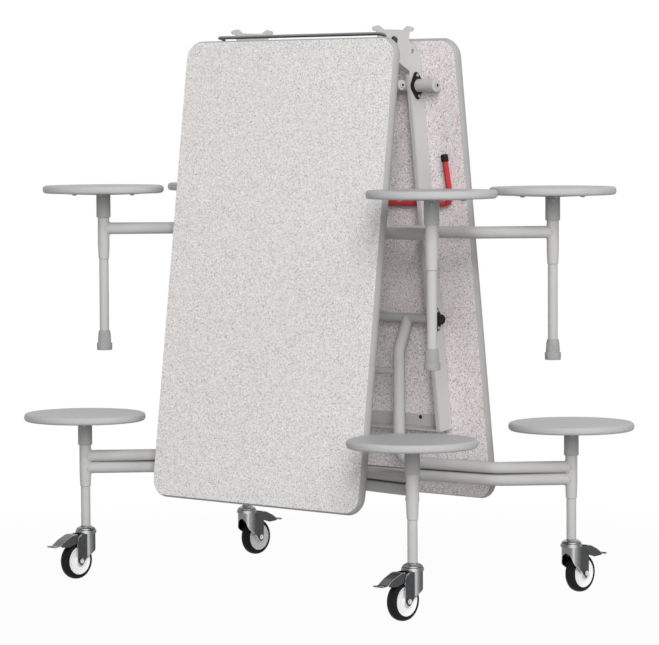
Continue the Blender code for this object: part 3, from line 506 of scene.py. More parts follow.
def knuckle_web():
    """Outline of a front channel's web, which reaches down to a round knuckle on the pin."""
    angle = np.radians(np.linspace(150.0, 310.0, 9))
    knuckle = KNUCKLE_RADIUS * np.stack([np.cos(angle), np.sin(angle)], 1)
    web = [(0.0765, WEB_LOW), (RAIL_END, WEB_LOW), (RAIL_END, WEB_TOP), (0.0385, WEB_TOP),
           (0.0145, WEB_TOP - 0.030)]
    return rounded(knuckle.tolist() + web, 0.002, closed=True, steps=3)


for side in SIDES:
    middle = RAIL_X[side]
    root, reach = middle - 0.0006, middle - RAIL_WALL / 2 - RAIL_FLANGE
    holes = [circle((0.0, 0.0), BOLT_HOLE)]
    for row, along in PIVOTS.items():
        holes.append(circle((along, PIVOT_LEVEL), PIVOT_TUBES[side, row][0] + TUBE_CLEARANCE))
    if side == "rear":
        holes += [circle(LEVER_AT, LEVER_HOLE), circle(upright(*HORN_HOLE_AT), HORN_HOLE)]
    else:
        holes.append(circle(LATCH_AT, LATCH_HOLE))
    web = pressed(winged_web() if side == "rear" else knuckle_web(), RAIL_WALL, 0.0009, holes)
    for hand, way in HANDS.items():
        sign = way * SIDES[side]
        parts = moved(web, (sign * middle, 0.0, 0.0), HEIGHT_FIRST)
        corners = [(RAIL_START, sign * root), (RAIL_START - 0.003, sign * reach),
                   (FLANGE_END, sign * reach), (FLANGE_END, sign * root)]
        outline = rounded(corners, 0.0015, closed=True, steps=3)
        for height in (RAIL_TOP - FLANGE_WALL / 2, RAIL_LOW + FLANGE_WALL / 2):
            parts += moved(pressed(outline, FLANGE_WALL, 0.0007), (0.0, 0.0, height), (1, 0, 2))
        solid(f"{side}_{hand}_channel", parts, on_half(side), lightened_channel_coat, f"{side}_half",
              [f"{side}_{hand}_rail"], PLATE_CRISP)

    reach = reach - 0.0003
    leg = pressed(box_outline(reach, FLANGE_END - ANGLE_LEG, FLANGE_END, 0.002, 3), FLANGE_WALL, 0.0008)
    lip = pressed(box_outline(reach, RAIL_LOW, RAIL_TOP - 0.0004, 0.002, 3), FLANGE_WALL, 0.0008)
    parts = moved(leg, (0.0, 0.0, RAIL_TOP - FLANGE_WALL / 2))
    parts += moved(lip, (0.0, FLANGE_END - FLANGE_WALL / 2, 0.0), (0, 2, 1))
    solid(f"{side}_end_angle", parts, on_half(side), lightened_channel_coat, f"{side}_half",
          [f"{side}_end_rail"], PLATE_CRISP)


# Two shouldered bolts make the centre hinge, one through each pair of hinge plate and knuckle.
# They are dark passivated steel, with a hexagon head on a washer outside and a chamfered end inside.
# Two screws of the same steel hold each end angle to its board.
DOWN = (0.0, 0.0, -1.0)
SCREW_X = 0.150
dark_steel = coating("dark_steel", (0.050, 0.051, 0.053), (0.085, 0.086, 0.088), cloud=(55.0, 4.0),
                     rough=(0.26, 0.16, 160.0, 3.0), peel=(500.0, 0.00004), metal=0.9)


def turned(profile, place=(0.0, 0.0, 0.0), axis=(0.0, 0.0, 1.0), sides=40, ring=False, ribs=0,
           rib_height=None):
    """A profile of (radius, height) points spun about an axis through a place: each runs round a circle.
    Ribs add a wave of that many crests, with a height for each profile point, to the radius."""
    profile = np.asarray(profile, float)
    axis = unit(axis)
    across = unit(np.cross(axis, np.eye(3)[np.argmin(np.abs(axis))]))
    angle = even_turn(sides)
    spokes = np.cos(angle)[:, None] * across + np.sin(angle)[:, None] * np.cross(axis, across)
    radius = np.repeat(profile[:, :1], sides, 1)
    if ribs:
        radius = radius + np.asarray(rib_height)[:, None] * (0.5 + 0.5 * np.cos(ribs * angle))[None]
    grid = np.asarray(place) + profile[:, 1, None, None] * axis + radius[..., None] * spokes[None]
    return skin(grid, round_rows=ring, round_columns=True)


def bolt_head(radius, height, place, axis, sides=6, socket=0.0):
    """A bolt's head on a face: chamfered at the top, with a socket of a given radius sunk into it."""
    top = [(0.0, height)]
    if socket:
        top = [(0.0, height * 0.35), (socket, height * 0.35), (socket, height)]
    return turned(top + [(radius * 0.86, height), (radius, height * 0.78), (radius, 0.0), (0.0, 0.0)],
                  place, axis, sides)


outside = RAIL_X["rear"] + RAIL_WALL / 2
shank = [(0.0, 0.2423), (0.0055, 0.2423), (0.007, 0.2436), (0.007, outside), (0.0, outside)]
washer = [(0.0, 0.0013), (0.0098, 0.0013), (0.0102, 0.0008), (0.0102, 0.0), (0.0, 0.0)]
for hand, way in HANDS.items():
    axis = (way, 0.0, 0.0)
    parts = [turned(shank, axis=axis, sides=24), turned(washer, (way * outside, 0.0, 0.0), axis),
             bolt_head(0.0088, 0.0060, (way * (outside + 0.0012), 0.0, 0.0), axis)]
    solid(f"{hand}_hinge_bolt", parts, on_half("rear"), dark_steel, "rear_half", [f"{hand}_hinge_pin"],
          crisp=25.0)
for side in SIDES:
    screws = [bolt_head(0.0052, 0.0028, (x, RAIL_END - 0.0265, RAIL_TOP - 0.0029), DOWN, 20, 0.0022)
              for x in (-SCREW_X, SCREW_X)]
    solid(f"{side}_end_screws", screws, on_half(side), dark_steel, f"{side}_half")


# Each pivot tube turns in a moulded black bush with an oval flange, bolted to its channel beside the tube.
# The bolts are bright zinc with a socket in a round head.
BUSH_WALL = 0.006
BUSH_THICKNESS = 0.006
BUSH_BOLT = 0.0045
black_plastic = coating("black_plastic", (0.008, 0.008, 0.009), (0.018, 0.018, 0.019), cloud=(80.0, 3.0),
                        rough=(0.36, 0.20, 300.0), peel=(1400.0, 0.00006), gloss=0.18)
zinc_plate = coating("zinc_plate", (0.60, 0.61, 0.62), (0.74, 0.745, 0.75), cloud=(90.0, 4.0),
                     rough=(0.16, 0.18, 240.0, 3.0), peel=(700.0, 0.00003), metal=1.0)


def bush_outline(tube_radius):
    """An oval with an ear at each end: arcs about the middle and about the two bolts, run together.
    The bolts' distance from the middle comes with it."""
    hub, ear = tube_radius + BUSH_WALL, BUSH_BOLT * 1.9
    bolts = hub + BUSH_BOLT * 0.9
    arcs = []
    for centre, radius, first, sweep in ((bolts, ear, -55, 110), (0.0, hub, 62, 56),
                                         (-bolts, ear, 125, 110), (0.0, hub, 242, 56)):
        angle = np.radians(np.linspace(first, first + sweep, 12))
        arcs.append(np.stack([centre + radius * np.cos(angle), radius * np.sin(angle)], 1))
    return np.concatenate(arcs), bolts


for (side, row), (tube_radius, _) in PIVOT_TUBES.items():
    outline, bolts = bush_outline(tube_radius)
    bore = tube_radius + 0.0004
    flange = pressed(outline, BUSH_THICKNESS, 0.0014, [circle((0.0, 0.0), bore, 32)])
    collar = [(bore, -0.001), (tube_radius + 0.0030, -0.001), (tube_radius + 0.0026, 0.0028),
              (tube_radius + 0.0006, 0.0034), (bore, 0.0030)]
    face = RAIL_X[side] + RAIL_WALL / 2 + 0.0002 + BUSH_THICKNESS
    along = PIVOTS[row]
    for hand, way in HANDS.items():
        name, sign = f"{side}_{row}_{hand}", way * SIDES[side]
        axis = (sign, 0.0, 0.0)
        parts = moved(flange, (sign * (face - BUSH_THICKNESS / 2), along, PIVOT_LEVEL), HEIGHT_FIRST)
        parts.append(turned(collar, (sign * face, along, PIVOT_LEVEL), axis, ring=True))
        solid(f"{name}_bush", parts, on_half(side), black_plastic, f"{side}_half", [f"{name}_bearing"],
              PLATE_CRISP)
        heads = [bolt_head(BUSH_BOLT, 0.0036, (sign * (face - 0.0004), along + bolt, PIVOT_LEVEL), axis, 24,
                           0.0019) for bolt in (-bolts, bolts)]
        solid(f"{name}_bush_bolts", heads, on_half(side), zinc_plate, f"{side}_half")


# Every pair of stools hangs on a welded frame of bent steel tube: a pivot tube, two struts that swing back
# and down into the arms, a stretcher, two posts and their thinner legs. Caster frames have a second arm tube.
# Their pivot tubes end in black push-on caps, and those of the others in grey plugs with a socket screw.
PIVOT_PLACES = {"inner": (0.085887, 1.321401), "outer": (0.161081, 0.709)}
BODY_NAMES = {"inner": "stool_stand", "outer": "caster_stand"}
FLOOR_BELOW_PIVOT = -0.709
STOOL_X = 0.591
STOOL_OUT = 0.150
ARM_RADIUS = 0.0158
ARM_BEND_X = 0.460
ARM_BEND = 0.060
ARM_LEVELS = {"inner": -0.3785, "outer": -0.379}
STRUT_X = 0.1576
STRUT_BACK = -0.037
STRUT_SLANT = -0.085
STRUT_BEND = 0.050
STRETCHER_RADIUS = 0.0095
STRETCHER_LEVEL = -0.140
SECOND_TUBE_DROP = 0.0313
POST_RADIUS, POST_END_RADIUS = 0.0158, 0.0144
POST_TOP = -0.2866
WAIST_BELOW_ARM = 0.066
LEG_RADIUS = 0.0127
LEG_ENDS = {"inner": FLOOR_BELOW_PIVOT + 0.0093, "outer": FLOOR_BELOW_PIVOT + 0.141}
SCREW_PROUD = 0.0006
ALONG = (1.0, 0.0, 0.0)
UP = (0.0, 0.0, 1.0)


def swept(path, radius, sides=28, beside=(0.31, 0.52, 0.79), closed=False):
    """A circle carried along a path. Each ring is square to the path: one axis is the path's direction
    crossed with a fixed slanting vector, the other is square to both. Open ends close to a point."""
    path = np.asarray(path, float)
    radius = np.broadcast_to(np.asarray(radius, float), len(path))
    along = np.roll(path, -1, 0) - np.roll(path, 1, 0) if closed else np.gradient(path, axis=0)
    along = unit(along)
    across = unit(np.cross(along, beside))
    angle = even_turn(sides)[None, :, None]
    spokes = across[:, None] * np.cos(angle) + np.cross(across, along)[:, None] * np.sin(angle)
    rings = path[:, None] + radius[:, None, None] * spokes
    if closed:
        return skin(rings, True, True)
    ends = np.repeat(path[[0, -1], None], sides, 1)
    return skin(np.concatenate([ends[:1], rings, ends[1:]]), round_columns=True)


def weld(place, post_axis, arm_axis, post_radius, arm_radius, bead=0.0024):
    """A weld bead where an arm meets a post: the arm's circle, pushed out along the arm to the post's
    surface, with nine small waves in its thickness."""
    arm_axis = unit(arm_axis)
    beside = unit(np.cross(post_axis, arm_axis))
    over = np.cross(arm_axis, beside)
    angle = even_turn(40)
    sideways = min(arm_radius, 0.97 * post_radius) * np.sin(angle)
    out = np.sqrt(np.maximum(post_radius ** 2 - sideways ** 2, 1e-9))
    path = (np.asarray(place) + out[:, None] * arm_axis + sideways[:, None] * beside
            + (arm_radius * np.cos(angle))[:, None] * over)
    return swept(path, bead * (1.0 + 0.12 * np.sin(9 * angle)), 10, arm_axis + 0.13 * over, closed=True)


def on_stand(side, row):
    """Places points measured from a frame's pivot, with the second axis away from the table's middle."""
    sign = SIDES[side]
    out, height = PIVOT_PLACES[row]
    return lambda points: np.asarray(points, float) * (sign, sign, 1.0) + (0.0, sign * out, height)


def post_profile(row):
    """Outline of a post: a round top inside the sleeve, a taper to a waist under the arm, and the thinner
    leg below."""
    waist = ARM_LEVELS[row] - ARM_RADIUS - WAIST_BELOW_ARM
    end, groove = LEG_ENDS[row], LEG_RADIUS - 0.0009
    return rounded([(0.0, POST_TOP), (POST_RADIUS, POST_TOP), (POST_RADIUS, waist + 0.038),
                    (POST_END_RADIUS, waist + 0.004), (POST_END_RADIUS, waist), (groove, waist),
                    (groove, waist - 0.0022), (LEG_RADIUS, waist - 0.0026), (LEG_RADIUS, end), (0.0, end)],
                   (0.0, 0.001, 0.03, 0.006, 0.0006, 0.0002, 0.0002, 0.0002, 0.0006, 0.0), steps=4)


def painted_crease_shade(points, normals):
    """Painted shade: dark in the crease where the two arm tubes lie on each other, fading up and down the
    tubes, and not on the posts."""
    stand_out, stand_height = PIVOT_PLACES["outer"]
    seam_height = stand_height + ARM_LEVELS["outer"] - SECOND_TUBE_DROP / 2
    from_post = np.hypot(np.abs(points[:, 0]) - STOOL_X, np.abs(points[:, 1]) - stand_out - STOOL_OUT)
    depth = np.clip(1.0 - np.abs(points[:, 2] - seam_height) / 0.0036, 0.0, 1.0)
    return 0.9 * depth * (from_post > POST_RADIUS + 0.003)


for (side, row), (tube_radius, tube_end) in PIVOT_TUBES.items():
    name, body, where = f"{side}_{row}", f"{side}_{BODY_NAMES[row]}", on_stand(side, row)
    arm, low = ARM_LEVELS[row], ARM_LEVELS[row] - SECOND_TUBE_DROP
    bar = [(0.0, -tube_end), (tube_radius - 0.0008, -tube_end), (tube_radius, -tube_end + 0.0008)]
    bar += [(radius, -height) for radius, height in reversed(bar)]
    parts = [turned(bar, axis=ALONG, sides=36)]
    for sign in (-1, 1):
        stool, strut = sign * STOOL_X, sign * STRUT_X
        to_bend = (sign * (ARM_BEND_X - STOOL_X), -STOOL_OUT, 0.0)
        route = [(stool, STOOL_OUT, arm), (sign * ARM_BEND_X, 0.0, arm), (strut, STRUT_BACK, arm),
                 (strut, STRUT_BACK, STRUT_SLANT), (strut, 0.0, 0.0)]
        parts += [swept(rounded(route, STRUT_BEND, steps=14), ARM_RADIUS, 32),
                  turned(post_profile(row), (stool, STOOL_OUT, 0.0), sides=36),
                  weld((stool, STOOL_OUT, arm), UP, to_bend, POST_RADIUS, ARM_RADIUS),
                  weld((strut, 0.0, 0.0), ALONG, (0.0, STRUT_BACK, STRUT_SLANT), tube_radius, ARM_RADIUS),
                  weld((strut, STRUT_BACK, STRETCHER_LEVEL), UP, (-sign, 0.0, 0.0), ARM_RADIUS,
                       STRETCHER_RADIUS, 0.0018)]
        if row == "outer":
            parts.append(weld((stool, STOOL_OUT, low), UP, to_bend, POST_RADIUS, ARM_RADIUS))
    stretcher = [(x, STRUT_BACK, STRETCHER_LEVEL) for x in (-STRUT_X, 0.0, STRUT_X)]
    parts.append(swept(stretcher, STRETCHER_RADIUS))
    if row == "outer":
        right_run = [(STOOL_X, STOOL_OUT, low), (ARM_BEND_X, 0.0, low), (STRUT_X, STRUT_BACK, low)]
        left_run = [(-x, y, z) for x, y, z in reversed(right_run)]
        parts.append(swept(rounded(right_run + left_run, ARM_BEND, steps=12), ARM_RADIUS, 32))
    # On caster frames the crease between the two arm tubes carries painted shade.
    solid(f"{name}_tube_frame", parts, where, grey_powder_coat, body, [f"{name}_frame"],
          painted_light=painted_crease_shade if row == "outer" else None)

    ends = [((sign * tube_end, 0.0, 0.0), (sign, 0.0, 0.0)) for sign in (-1, 1)]
    if row == "outer":
        inside = tube_radius + 0.0001
        cap = [(0.0, 0.0020), (0.0095, 0.0020), (0.0128, 0.0010), (0.0134, -0.0010), (0.0136, -0.0125),
               (0.0127, -0.0130), (inside, -0.0125), (inside, 0.0), (0.0, 0.0)]
        caps = [turned(rounded(cap, 0.0006, steps=3), end, way) for end, way in ends]
        solid(f"{name}_tube_plugs", caps, where, black_plastic, body)
    else:
        plug = [(0.0, 0.0009), (tube_radius - 0.0040, 0.0009), (tube_radius - 0.0008, -0.0012),
                (tube_radius - 0.0012, -0.004), (0.0, -0.004)]
        plugs = [turned(rounded(plug, 0.0012, steps=4), end, way) for end, way in ends]
        solid(f"{name}_tube_plugs", plugs, where, grey_powder_coat, body)
        heads = [((sign * (tube_end + SCREW_PROUD), 0.0, 0.0), (sign, 0.0, 0.0)) for sign in (-1, 1)]
        screws = [bolt_head(0.0066, 0.0030, head, way, 24, 0.0042) for head, way in heads]
        solid(f"{name}_plug_screws", screws, where, zinc_plate, body)
        # A black disc in each screw's socket is painted shade for the dark of the recess.
        socket = [(0.0, 0.0017), (0.0041, 0.0017), (0.0041, 0.0), (0.0, 0.0)]
        sockets = [turned(socket, head, way, 6) for head, way in heads]
        solid(f"{name}_socket_shade_discs", sockets, where, black_plastic, body)


# The seats are round boards with a full round rim, sprayed in one smooth, glossy grey.
# Each is screwed from below to a square plate, whose welded sleeve drops over the post and is pinned there.
SEAT_RADIUS = 0.1635
SEAT_TOP = 0.447 + FLOOR_BELOW_PIVOT
SEAT_THICKNESS = 0.021
SEAT_RIM = 0.0088
PLATE_SIDE = 0.150
PLATE_THICKNESS = 0.003
PLATE_CORNER = 0.020
PLATE_TOP = SEAT_TOP - SEAT_THICKNESS - 0.0002
PLATE_UNDER = PLATE_TOP - PLATE_THICKNESS
SEAT_SCREW = 0.055
SLEEVE_RADIUS, SLEEVE_BORE = 0.0192, 0.0161
SLEEVE_LENGTH = 0.0622
grey_seat_board = coating("grey_seat_board", (0.405, 0.400, 0.401), (0.445, 0.439, 0.440), cloud=(22.0, 4.0),
                          rough=(0.30, 0.16, 70.0, 3.0), peel=(800.0, 0.00005), gloss=0.0, coat=(0.40, 0.28))
# The plate and sleeve under the seat take a darker copy of the frames' coat: painted shade for the seat's
# shadow.
shaded_bracket_coat = powder_coat("grey_bracket_coat_painted_shade", 0.360)
dull_zinc = coating("dull_zinc", (0.23, 0.232, 0.235), (0.33, 0.332, 0.335), cloud=(110.0, 4.0),
                    rough=(0.26, 0.18, 260.0, 3.0), peel=(700.0, 0.00003), metal=1.0)

seat_profile = rounded([(0.0, 0.0), (SEAT_RADIUS, 0.0), (SEAT_RADIUS, -SEAT_THICKNESS),
                        (0.0, -SEAT_THICKNESS)], SEAT_RIM, steps=12)
plate = pressed(box_outline(PLATE_SIDE / 2, -PLATE_SIDE / 2, PLATE_SIDE / 2, PLATE_CORNER, 8),
                PLATE_THICKNESS, 0.0007)
sleeve = [(SLEEVE_BORE, 0.001), (SLEEVE_RADIUS + 0.0022, 0.001), (SLEEVE_RADIUS + 0.0014, -0.0008),
          (SLEEVE_RADIUS + 0.0003, -0.0018), (SLEEVE_RADIUS, -0.003), (SLEEVE_RADIUS, -SLEEVE_LENGTH + 0.001),
          (SLEEVE_RADIUS - 0.001, -SLEEVE_LENGTH), (SLEEVE_BORE, -SLEEVE_LENGTH)]
diagonal = np.array((1.0, -1.0, 0.0)) / math.sqrt(2.0)
for side, row, hand in itertools.product(SIDES, PIVOTS, HANDS):
    name, body, where = f"{side}_{row}_{hand}", f"{side}_{BODY_NAMES[row]}", on_stand(side, row)
    x = HANDS[hand] * SIDES[side] * STOOL_X
    seat = turned(seat_profile, (x, STOOL_OUT, SEAT_TOP), sides=96)
    solid(f"{name}_round_seat", [seat], where, grey_seat_board, body, [f"{name}_seat"])
    parts = moved(plate, (x, STOOL_OUT, PLATE_TOP - PLATE_THICKNESS / 2))
    parts.append(turned(sleeve, (x, STOOL_OUT, PLATE_UNDER), ring=True))
    solid(f"{name}_seat_plate", parts, where, shaded_bracket_coat, body, [f"{name}_seat_bracket"],
          PLATE_CRISP)
    screws = [bolt_head(0.0058, 0.0034, (x + across, STOOL_OUT + out, PLATE_UNDER), DOWN, 20, 0.002)
              for across in (-SEAT_SCREW, SEAT_SCREW) for out in (-SEAT_SCREW, SEAT_SCREW)]
    for end in (-1, 1):
        at = np.array((x, STOOL_OUT, PLATE_UNDER - 0.0100)) + end * diagonal * (SLEEVE_RADIUS - 0.0003)
        screws.append(bolt_head(0.0040, 0.0022, at, end * diagonal, 20, 0.0016))
    solid(f"{name}_seat_screws", screws, where, dull_zinc, body)


# The legs that hang in the air while the table is folded end in ribbed grey rubber feet.
# A foot is pushed over its leg: a ribbed, slightly tapered neck over a thicker sole.
NECK_LOW, NECK_HIGH = np.array((0.0175, 0.0200)), np.array((0.0153, 0.0530))
FOOT_BORE = 0.0129
RIB_HEIGHT = 0.0009
CORNERS = list(itertools.product(SIDES, HANDS))
grey_foot_rubber = coating("grey_foot_rubber", (0.265, 0.265, 0.265), (0.345, 0.345, 0.341),
                           cloud=(130.0, 3.0), rough=(0.60, 0.15, 300.0), peel=(900.0, 0.00012), gloss=0.3)

foot_profile = rounded([(0.0, 0.0), (0.0205, 0.0), (0.0210, 0.0195), NECK_LOW, NECK_HIGH,
                        (FOOT_BORE, 0.0530), (FOOT_BORE, 0.0080), (0.0, 0.0080)],
                       (0.0, 0.0015, 0.0015, 0.0008, 0.0012, 0.0004, 0.0004, 0.0), steps=4)
neck = NECK_LOW + np.linspace(0.0, 1.0, 9)[:, None] * (NECK_HIGH - NECK_LOW)
first_neck = int(np.argmin(np.abs(foot_profile - NECK_LOW - (0.0, 0.0015)).sum(1)))
foot_profile = np.concatenate([foot_profile[:first_neck + 1], neck[1:-1], foot_profile[first_neck + 1:]])
is_neck = (foot_profile[:, 0] > 0.0150) & (foot_profile[:, 1] > 0.022) & (foot_profile[:, 1] < 0.047)
for side, hand in CORNERS:
    x = HANDS[hand] * SIDES[side] * STOOL_X
    foot = turned(foot_profile, (x, STOOL_OUT, FLOOR_BELOW_PIVOT + 0.001), sides=120, ribs=20,
                  rib_height=np.where(is_neck, RIB_HEIGHT, 0.0))
    solid(f"{side}_{hand}_rubber_foot", [foot], on_stand(side, "inner"), grey_foot_rubber,
          f"{side}_stool_stand", [f"{side}_inner_{hand}_foot"])


# The other four legs stand on braked swivel casters. The race and the pressed fork are plated steel, with
# painted highlights where the metal is bent and painted reflections round the race. The fork is one sheet:
# an arched nose, and two cheeks that narrow to the axle.
CASTER_TRAIL = 0.036
AXLE_HEIGHT = 0.050
NOSE_FRONT = -0.0197
NOSE_HALF = 0.0228
NOSE_ARCH = 0.0200
CHEEK_HALF = 0.0195
CHEEK_BACK = 0.0490
SHEET_WALL = 0.0020
# Plated steel's colour is painted light: the painted_light attribute sets painted highlights and reflections.
plated_steel, place = new_finish("plated_steel")
painted_light = place.node("Attribute", {"attribute_name": "painted_light"}, out="Fac") + 0.06 * (grain(place, 90.0, 4.0) - 0.5)
lay(plated_steel,
    {"Base Color": painted_light.mix((0.040, 0.041, 0.043), (0.88, 0.885, 0.89)), "Metallic": 1.0,
     "Roughness": 0.20 + 0.16 * grain(place, 220.0, 3.0)},
    grain(place, 600.0), 0.00004)


def on_caster(side, hand):
    """Places points measured from the floor under a caster's stem, with the second axis to the wheel."""
    sign = SIDES[side]
    out = sign * (PIVOT_PLACES["outer"][0] + STOOL_OUT)
    return lambda points: np.asarray(points, float) * (sign, sign, 1.0) + (HANDS[hand] * STOOL_X, out, 0.0)


def fork_sheet():
    """The bent sheet of the fork. Its plan runs from one cheek's rear edge round the nose to the other's.
    Over each point of the plan the sheet stands between a lower edge, an arch under the nose that falls to
    the axle, and an upper one. An inner copy of this grid, drawn in by the wall, closes it."""
    half_plan = [(CHEEK_HALF, CHEEK_BACK), (CHEEK_HALF, 0.0140), (NOSE_HALF, 0.0070), (NOSE_HALF, NOSE_FRONT)]
    plan = rounded(half_plan + [(-x, y) for x, y in reversed(half_plan)],
                   (0.0, 0.004, 0.004, 0.0105, 0.0105, 0.004, 0.004, 0.0), steps=8)
    run = np.concatenate([[0.0], np.cumsum(np.linalg.norm(np.diff(plan, axis=0), axis=1))])
    even = np.linspace(0.0, run[-1], 161)
    plan = np.stack([np.interp(even, run, plan[:, axis]) for axis in (0, 1)], 1)
    back = plan[:, 1]
    low = np.interp(back, [NOSE_FRONT, -0.0175, -0.0120, -0.004, 0.0060, 0.0137, 0.0225, 0.0262, 0.0300,
                           0.0360, 0.0420, 0.0462, 0.0482, CHEEK_BACK],
                    [0.0850, 0.0795, 0.0740, 0.0690, 0.0630, 0.0575, 0.0485, 0.0430, 0.0388,
                     0.0370, 0.0388, 0.0430, 0.0500, 0.0930])
    arch = np.clip(1.0 - (plan[:, 0] / (NOSE_HALF - 0.0010)) ** 2, 0.0, 1.0)
    low = low + NOSE_ARCH * arch * (back < 0.0)
    high = np.interp(back, [NOSE_FRONT, 0.0194, 0.0330, 0.0440, 0.0480, CHEEK_BACK],
                     [0.1222, 0.1222, 0.1215, 0.1165, 0.1060, 0.0960])
    along = np.gradient(plan, axis=0)
    inwards = unit(np.stack([along[:, 1], -along[:, 0]], 1))
    height = low + (high - low) * np.linspace(0.0, 1.0, 17)[:, None]
    outer = np.dstack([*(np.broadcast_to(column, height.shape) for column in plan.T), height])
    inner = outer + SHEET_WALL * np.pad(inwards, ((0, 0), (0, 1)))
    walls = skin(np.concatenate([outer, inner[::-1]]), round_rows=True)
    return [walls] + [skin(np.stack([outer[:, end], inner[:, end]])) for end in (0, -1)]


def painted_bend_highlight(points, normals):
    """Painted highlight: dark on flat cheeks, bright where the sheet turns half way to the front, and
    middling when it has turned. On the nose's flanks, the furthest out from the stem, the painted highlight
    fades along the sheet."""
    turn = np.degrees(np.arctan2(-normals[:, 1], np.abs(normals[:, 0])))
    bend = np.interp(turn, [-90.0, -40.0, 0.0, 8.0, 18.0, 38.0, 60.0, 90.0],
                     [0.06, 0.05, 0.03, 0.05, 0.40, 0.80, 0.40, 0.20])
    stem = PIVOT_PLACES["outer"][0] + STOOL_OUT
    to_front = -(points[:, 1] - np.sign(points[:, 1]) * stem)
    on_flank = np.abs(np.abs(points[:, 0]) - STOOL_X) > NOSE_HALF - 0.0012
    fade = 0.34 * np.interp(to_front, [-0.016, 0.010], [0.0, 1.0]) ** 1.5
    return np.maximum(bend, fade * on_flank)


def painted_race_reflections(points, normals):
    """Painted reflections: three bright stripes round a dark polished ring, and a painted lighter upper face.
    """
    turn = np.arctan2(normals[:, 1], normals[:, 0])
    stripe = 0.14 + 0.70 * np.clip(np.cos(3.0 * (turn + 0.75)), 0.0, 1.0) ** 1.5
    return np.maximum(stripe, np.clip(1.2 * normals[:, 2] - 0.65, 0.0, 0.42))


race = rounded([(0.0, 0.1300), (0.0262, 0.1300), (0.0285, 0.1290), (0.0285, 0.1226), (0.0275, 0.1208),
                (0.0, 0.1208)], 0.0008, steps=3)
cover = rounded([(0.0, 0.1392), (0.0150, 0.1392), (0.0215, 0.1374), (0.0254, 0.1336), (0.0262, 0.1314),
                 (0.0254, 0.1302), (0.0, 0.1302)], 0.0010, steps=3)
nut = [(0.0, 0.1407), (0.0165, 0.1407), (0.0182, 0.1396), (0.0182, 0.1380), (0.0, 0.1380)]
axle_end = [(0.0, 0.0074), (0.0024, 0.0072), (0.0038, 0.0060), (0.0040, 0.0), (0.0, 0.0)]
head = [turned(race, sides=72), turned(cover, sides=72), turned(nut, sides=6)]
axle = []
for sign in (-1, 1):
    face, way = (sign * CHEEK_HALF, CASTER_TRAIL, AXLE_HEIGHT), (sign, 0.0, 0.0)
    axle += [bolt_head(0.0074, 0.0048, face, way), turned(axle_end, face, way, 24)]
for side, hand in CORNERS:
    name, body, where = f"{side}_{hand}", f"{side}_{hand}_swivel", on_caster(side, hand)
    solid(f"{name}_fork_sheet", fork_sheet(), where, plated_steel, body, [f"{name}_caster_fork"],
          30.0, painted_bend_highlight)
    solid(f"{name}_swivel_race", head, where, plated_steel, body, (), 30.0, painted_race_reflections)
    solid(f"{name}_axle_nuts", axle, where, zinc_plate, body, (), 28.0)


# A wheel is a white moulded disc with a raised hub, and a soft black tread bonded round it.
# It turns on a plain bolt between the cheeks of its fork.
WHEEL_RADIUS = 0.0500
HUB_RADIUS = 0.0378
WHEEL_AT = (0.0, CASTER_TRAIL, AXLE_HEIGHT)
white_hub = coating("white_hub", (0.76, 0.76, 0.755), (0.86, 0.86, 0.855), cloud=(160.0, 4.0),
                    rough=(0.34, 0.18, 320.0), peel=(700.0, 0.00008), gloss=0.4)
black_tread = coating("black_tread", (0.005, 0.005, 0.005), (0.012, 0.012, 0.012), cloud=(120.0, 4.0),
                      rough=(0.50, 0.22, 260.0), peel=(1000.0, 0.00010), gloss=0.12)

half_disc = [(0.0042, 0.0150), (0.0100, 0.0150), (0.0108, 0.0142), (0.0112, 0.0118), (0.0160, 0.0110),
             (0.0290, 0.0116), (0.0335, 0.0130), (0.0362, 0.0138), (HUB_RADIUS, 0.0138)]
disc_profile = half_disc + [(radius, -height) for radius, height in reversed(half_disc)]
disc = turned(rounded(disc_profile, 0.0008, closed=True, steps=3), WHEEL_AT, ALONG, 64, ring=True)
half_tread = [(HUB_RADIUS - 0.001, 0.0128), (HUB_RADIUS, 0.0142), (0.0412, 0.0145), (0.0455, 0.0128),
              (0.0482, 0.0095), (0.0496, 0.0050), (WHEEL_RADIUS, 0.0)]
tread_profile = half_tread + [(radius, -height) for radius, height in reversed(half_tread[:-1])]
tread = turned(rounded(tread_profile, 0.0012, closed=True, steps=3), WHEEL_AT, ALONG, 72, ring=True)
for side, hand in CORNERS:
    name, body, where = f"{side}_{hand}", f"{side}_{hand}_roller", on_caster(side, hand)
    solid(f"{name}_wheel_disc", [disc], where, white_hub, body, [f"{name}_wheel"])
    solid(f"{name}_wheel_tread", [tread], where, black_tread, body)


# A hood over the tread is the brake pedal: a curved steel strap between two dark cheeks, with a turned-up
# lip. It hinges on a pin in the fork and is pressed down with a foot.
PEDAL_AT = (0.036, 0.1167)
PEDAL_HALF = 0.0166


def hood(arch, width, thickness):
    """The strap: an arched line carried across the pedal's width and thickened square to itself. Powers of
    the cosine and sine of one angle make each ring nearly a rectangle, with soft edges."""
    along = np.gradient(arch, axis=0)
    normal = unit(np.stack([-along[:, 1], along[:, 0]], 1))
    angle = even_turn(24)
    across = np.sign(np.cos(angle)) * np.abs(np.cos(angle)) ** 0.12 * width
    over = np.sign(np.sin(angle)) * np.abs(np.sin(angle)) ** 0.3 * thickness / 2
    flat = arch[:, None] + normal[:, None] * over[None, :, None]
    rings = np.concatenate([np.broadcast_to(across[None, :, None], (*flat.shape[:2], 1)), flat], 2)
    ends = np.repeat(np.pad(arch[[0, -1]], ((0, 0), (1, 0)))[:, None], len(angle), 1)
    return skin(np.concatenate([ends[:1], rings, ends[1:]]), round_columns=True)


def painted_strap_highlight(points, normals):
    """Painted highlight: bright along the side edges and duller on the broad upper face."""
    return np.interp(np.abs(normals[:, 0]), [0.0, 0.25, 0.6, 1.0], [0.12, 0.16, 0.75, 0.45])


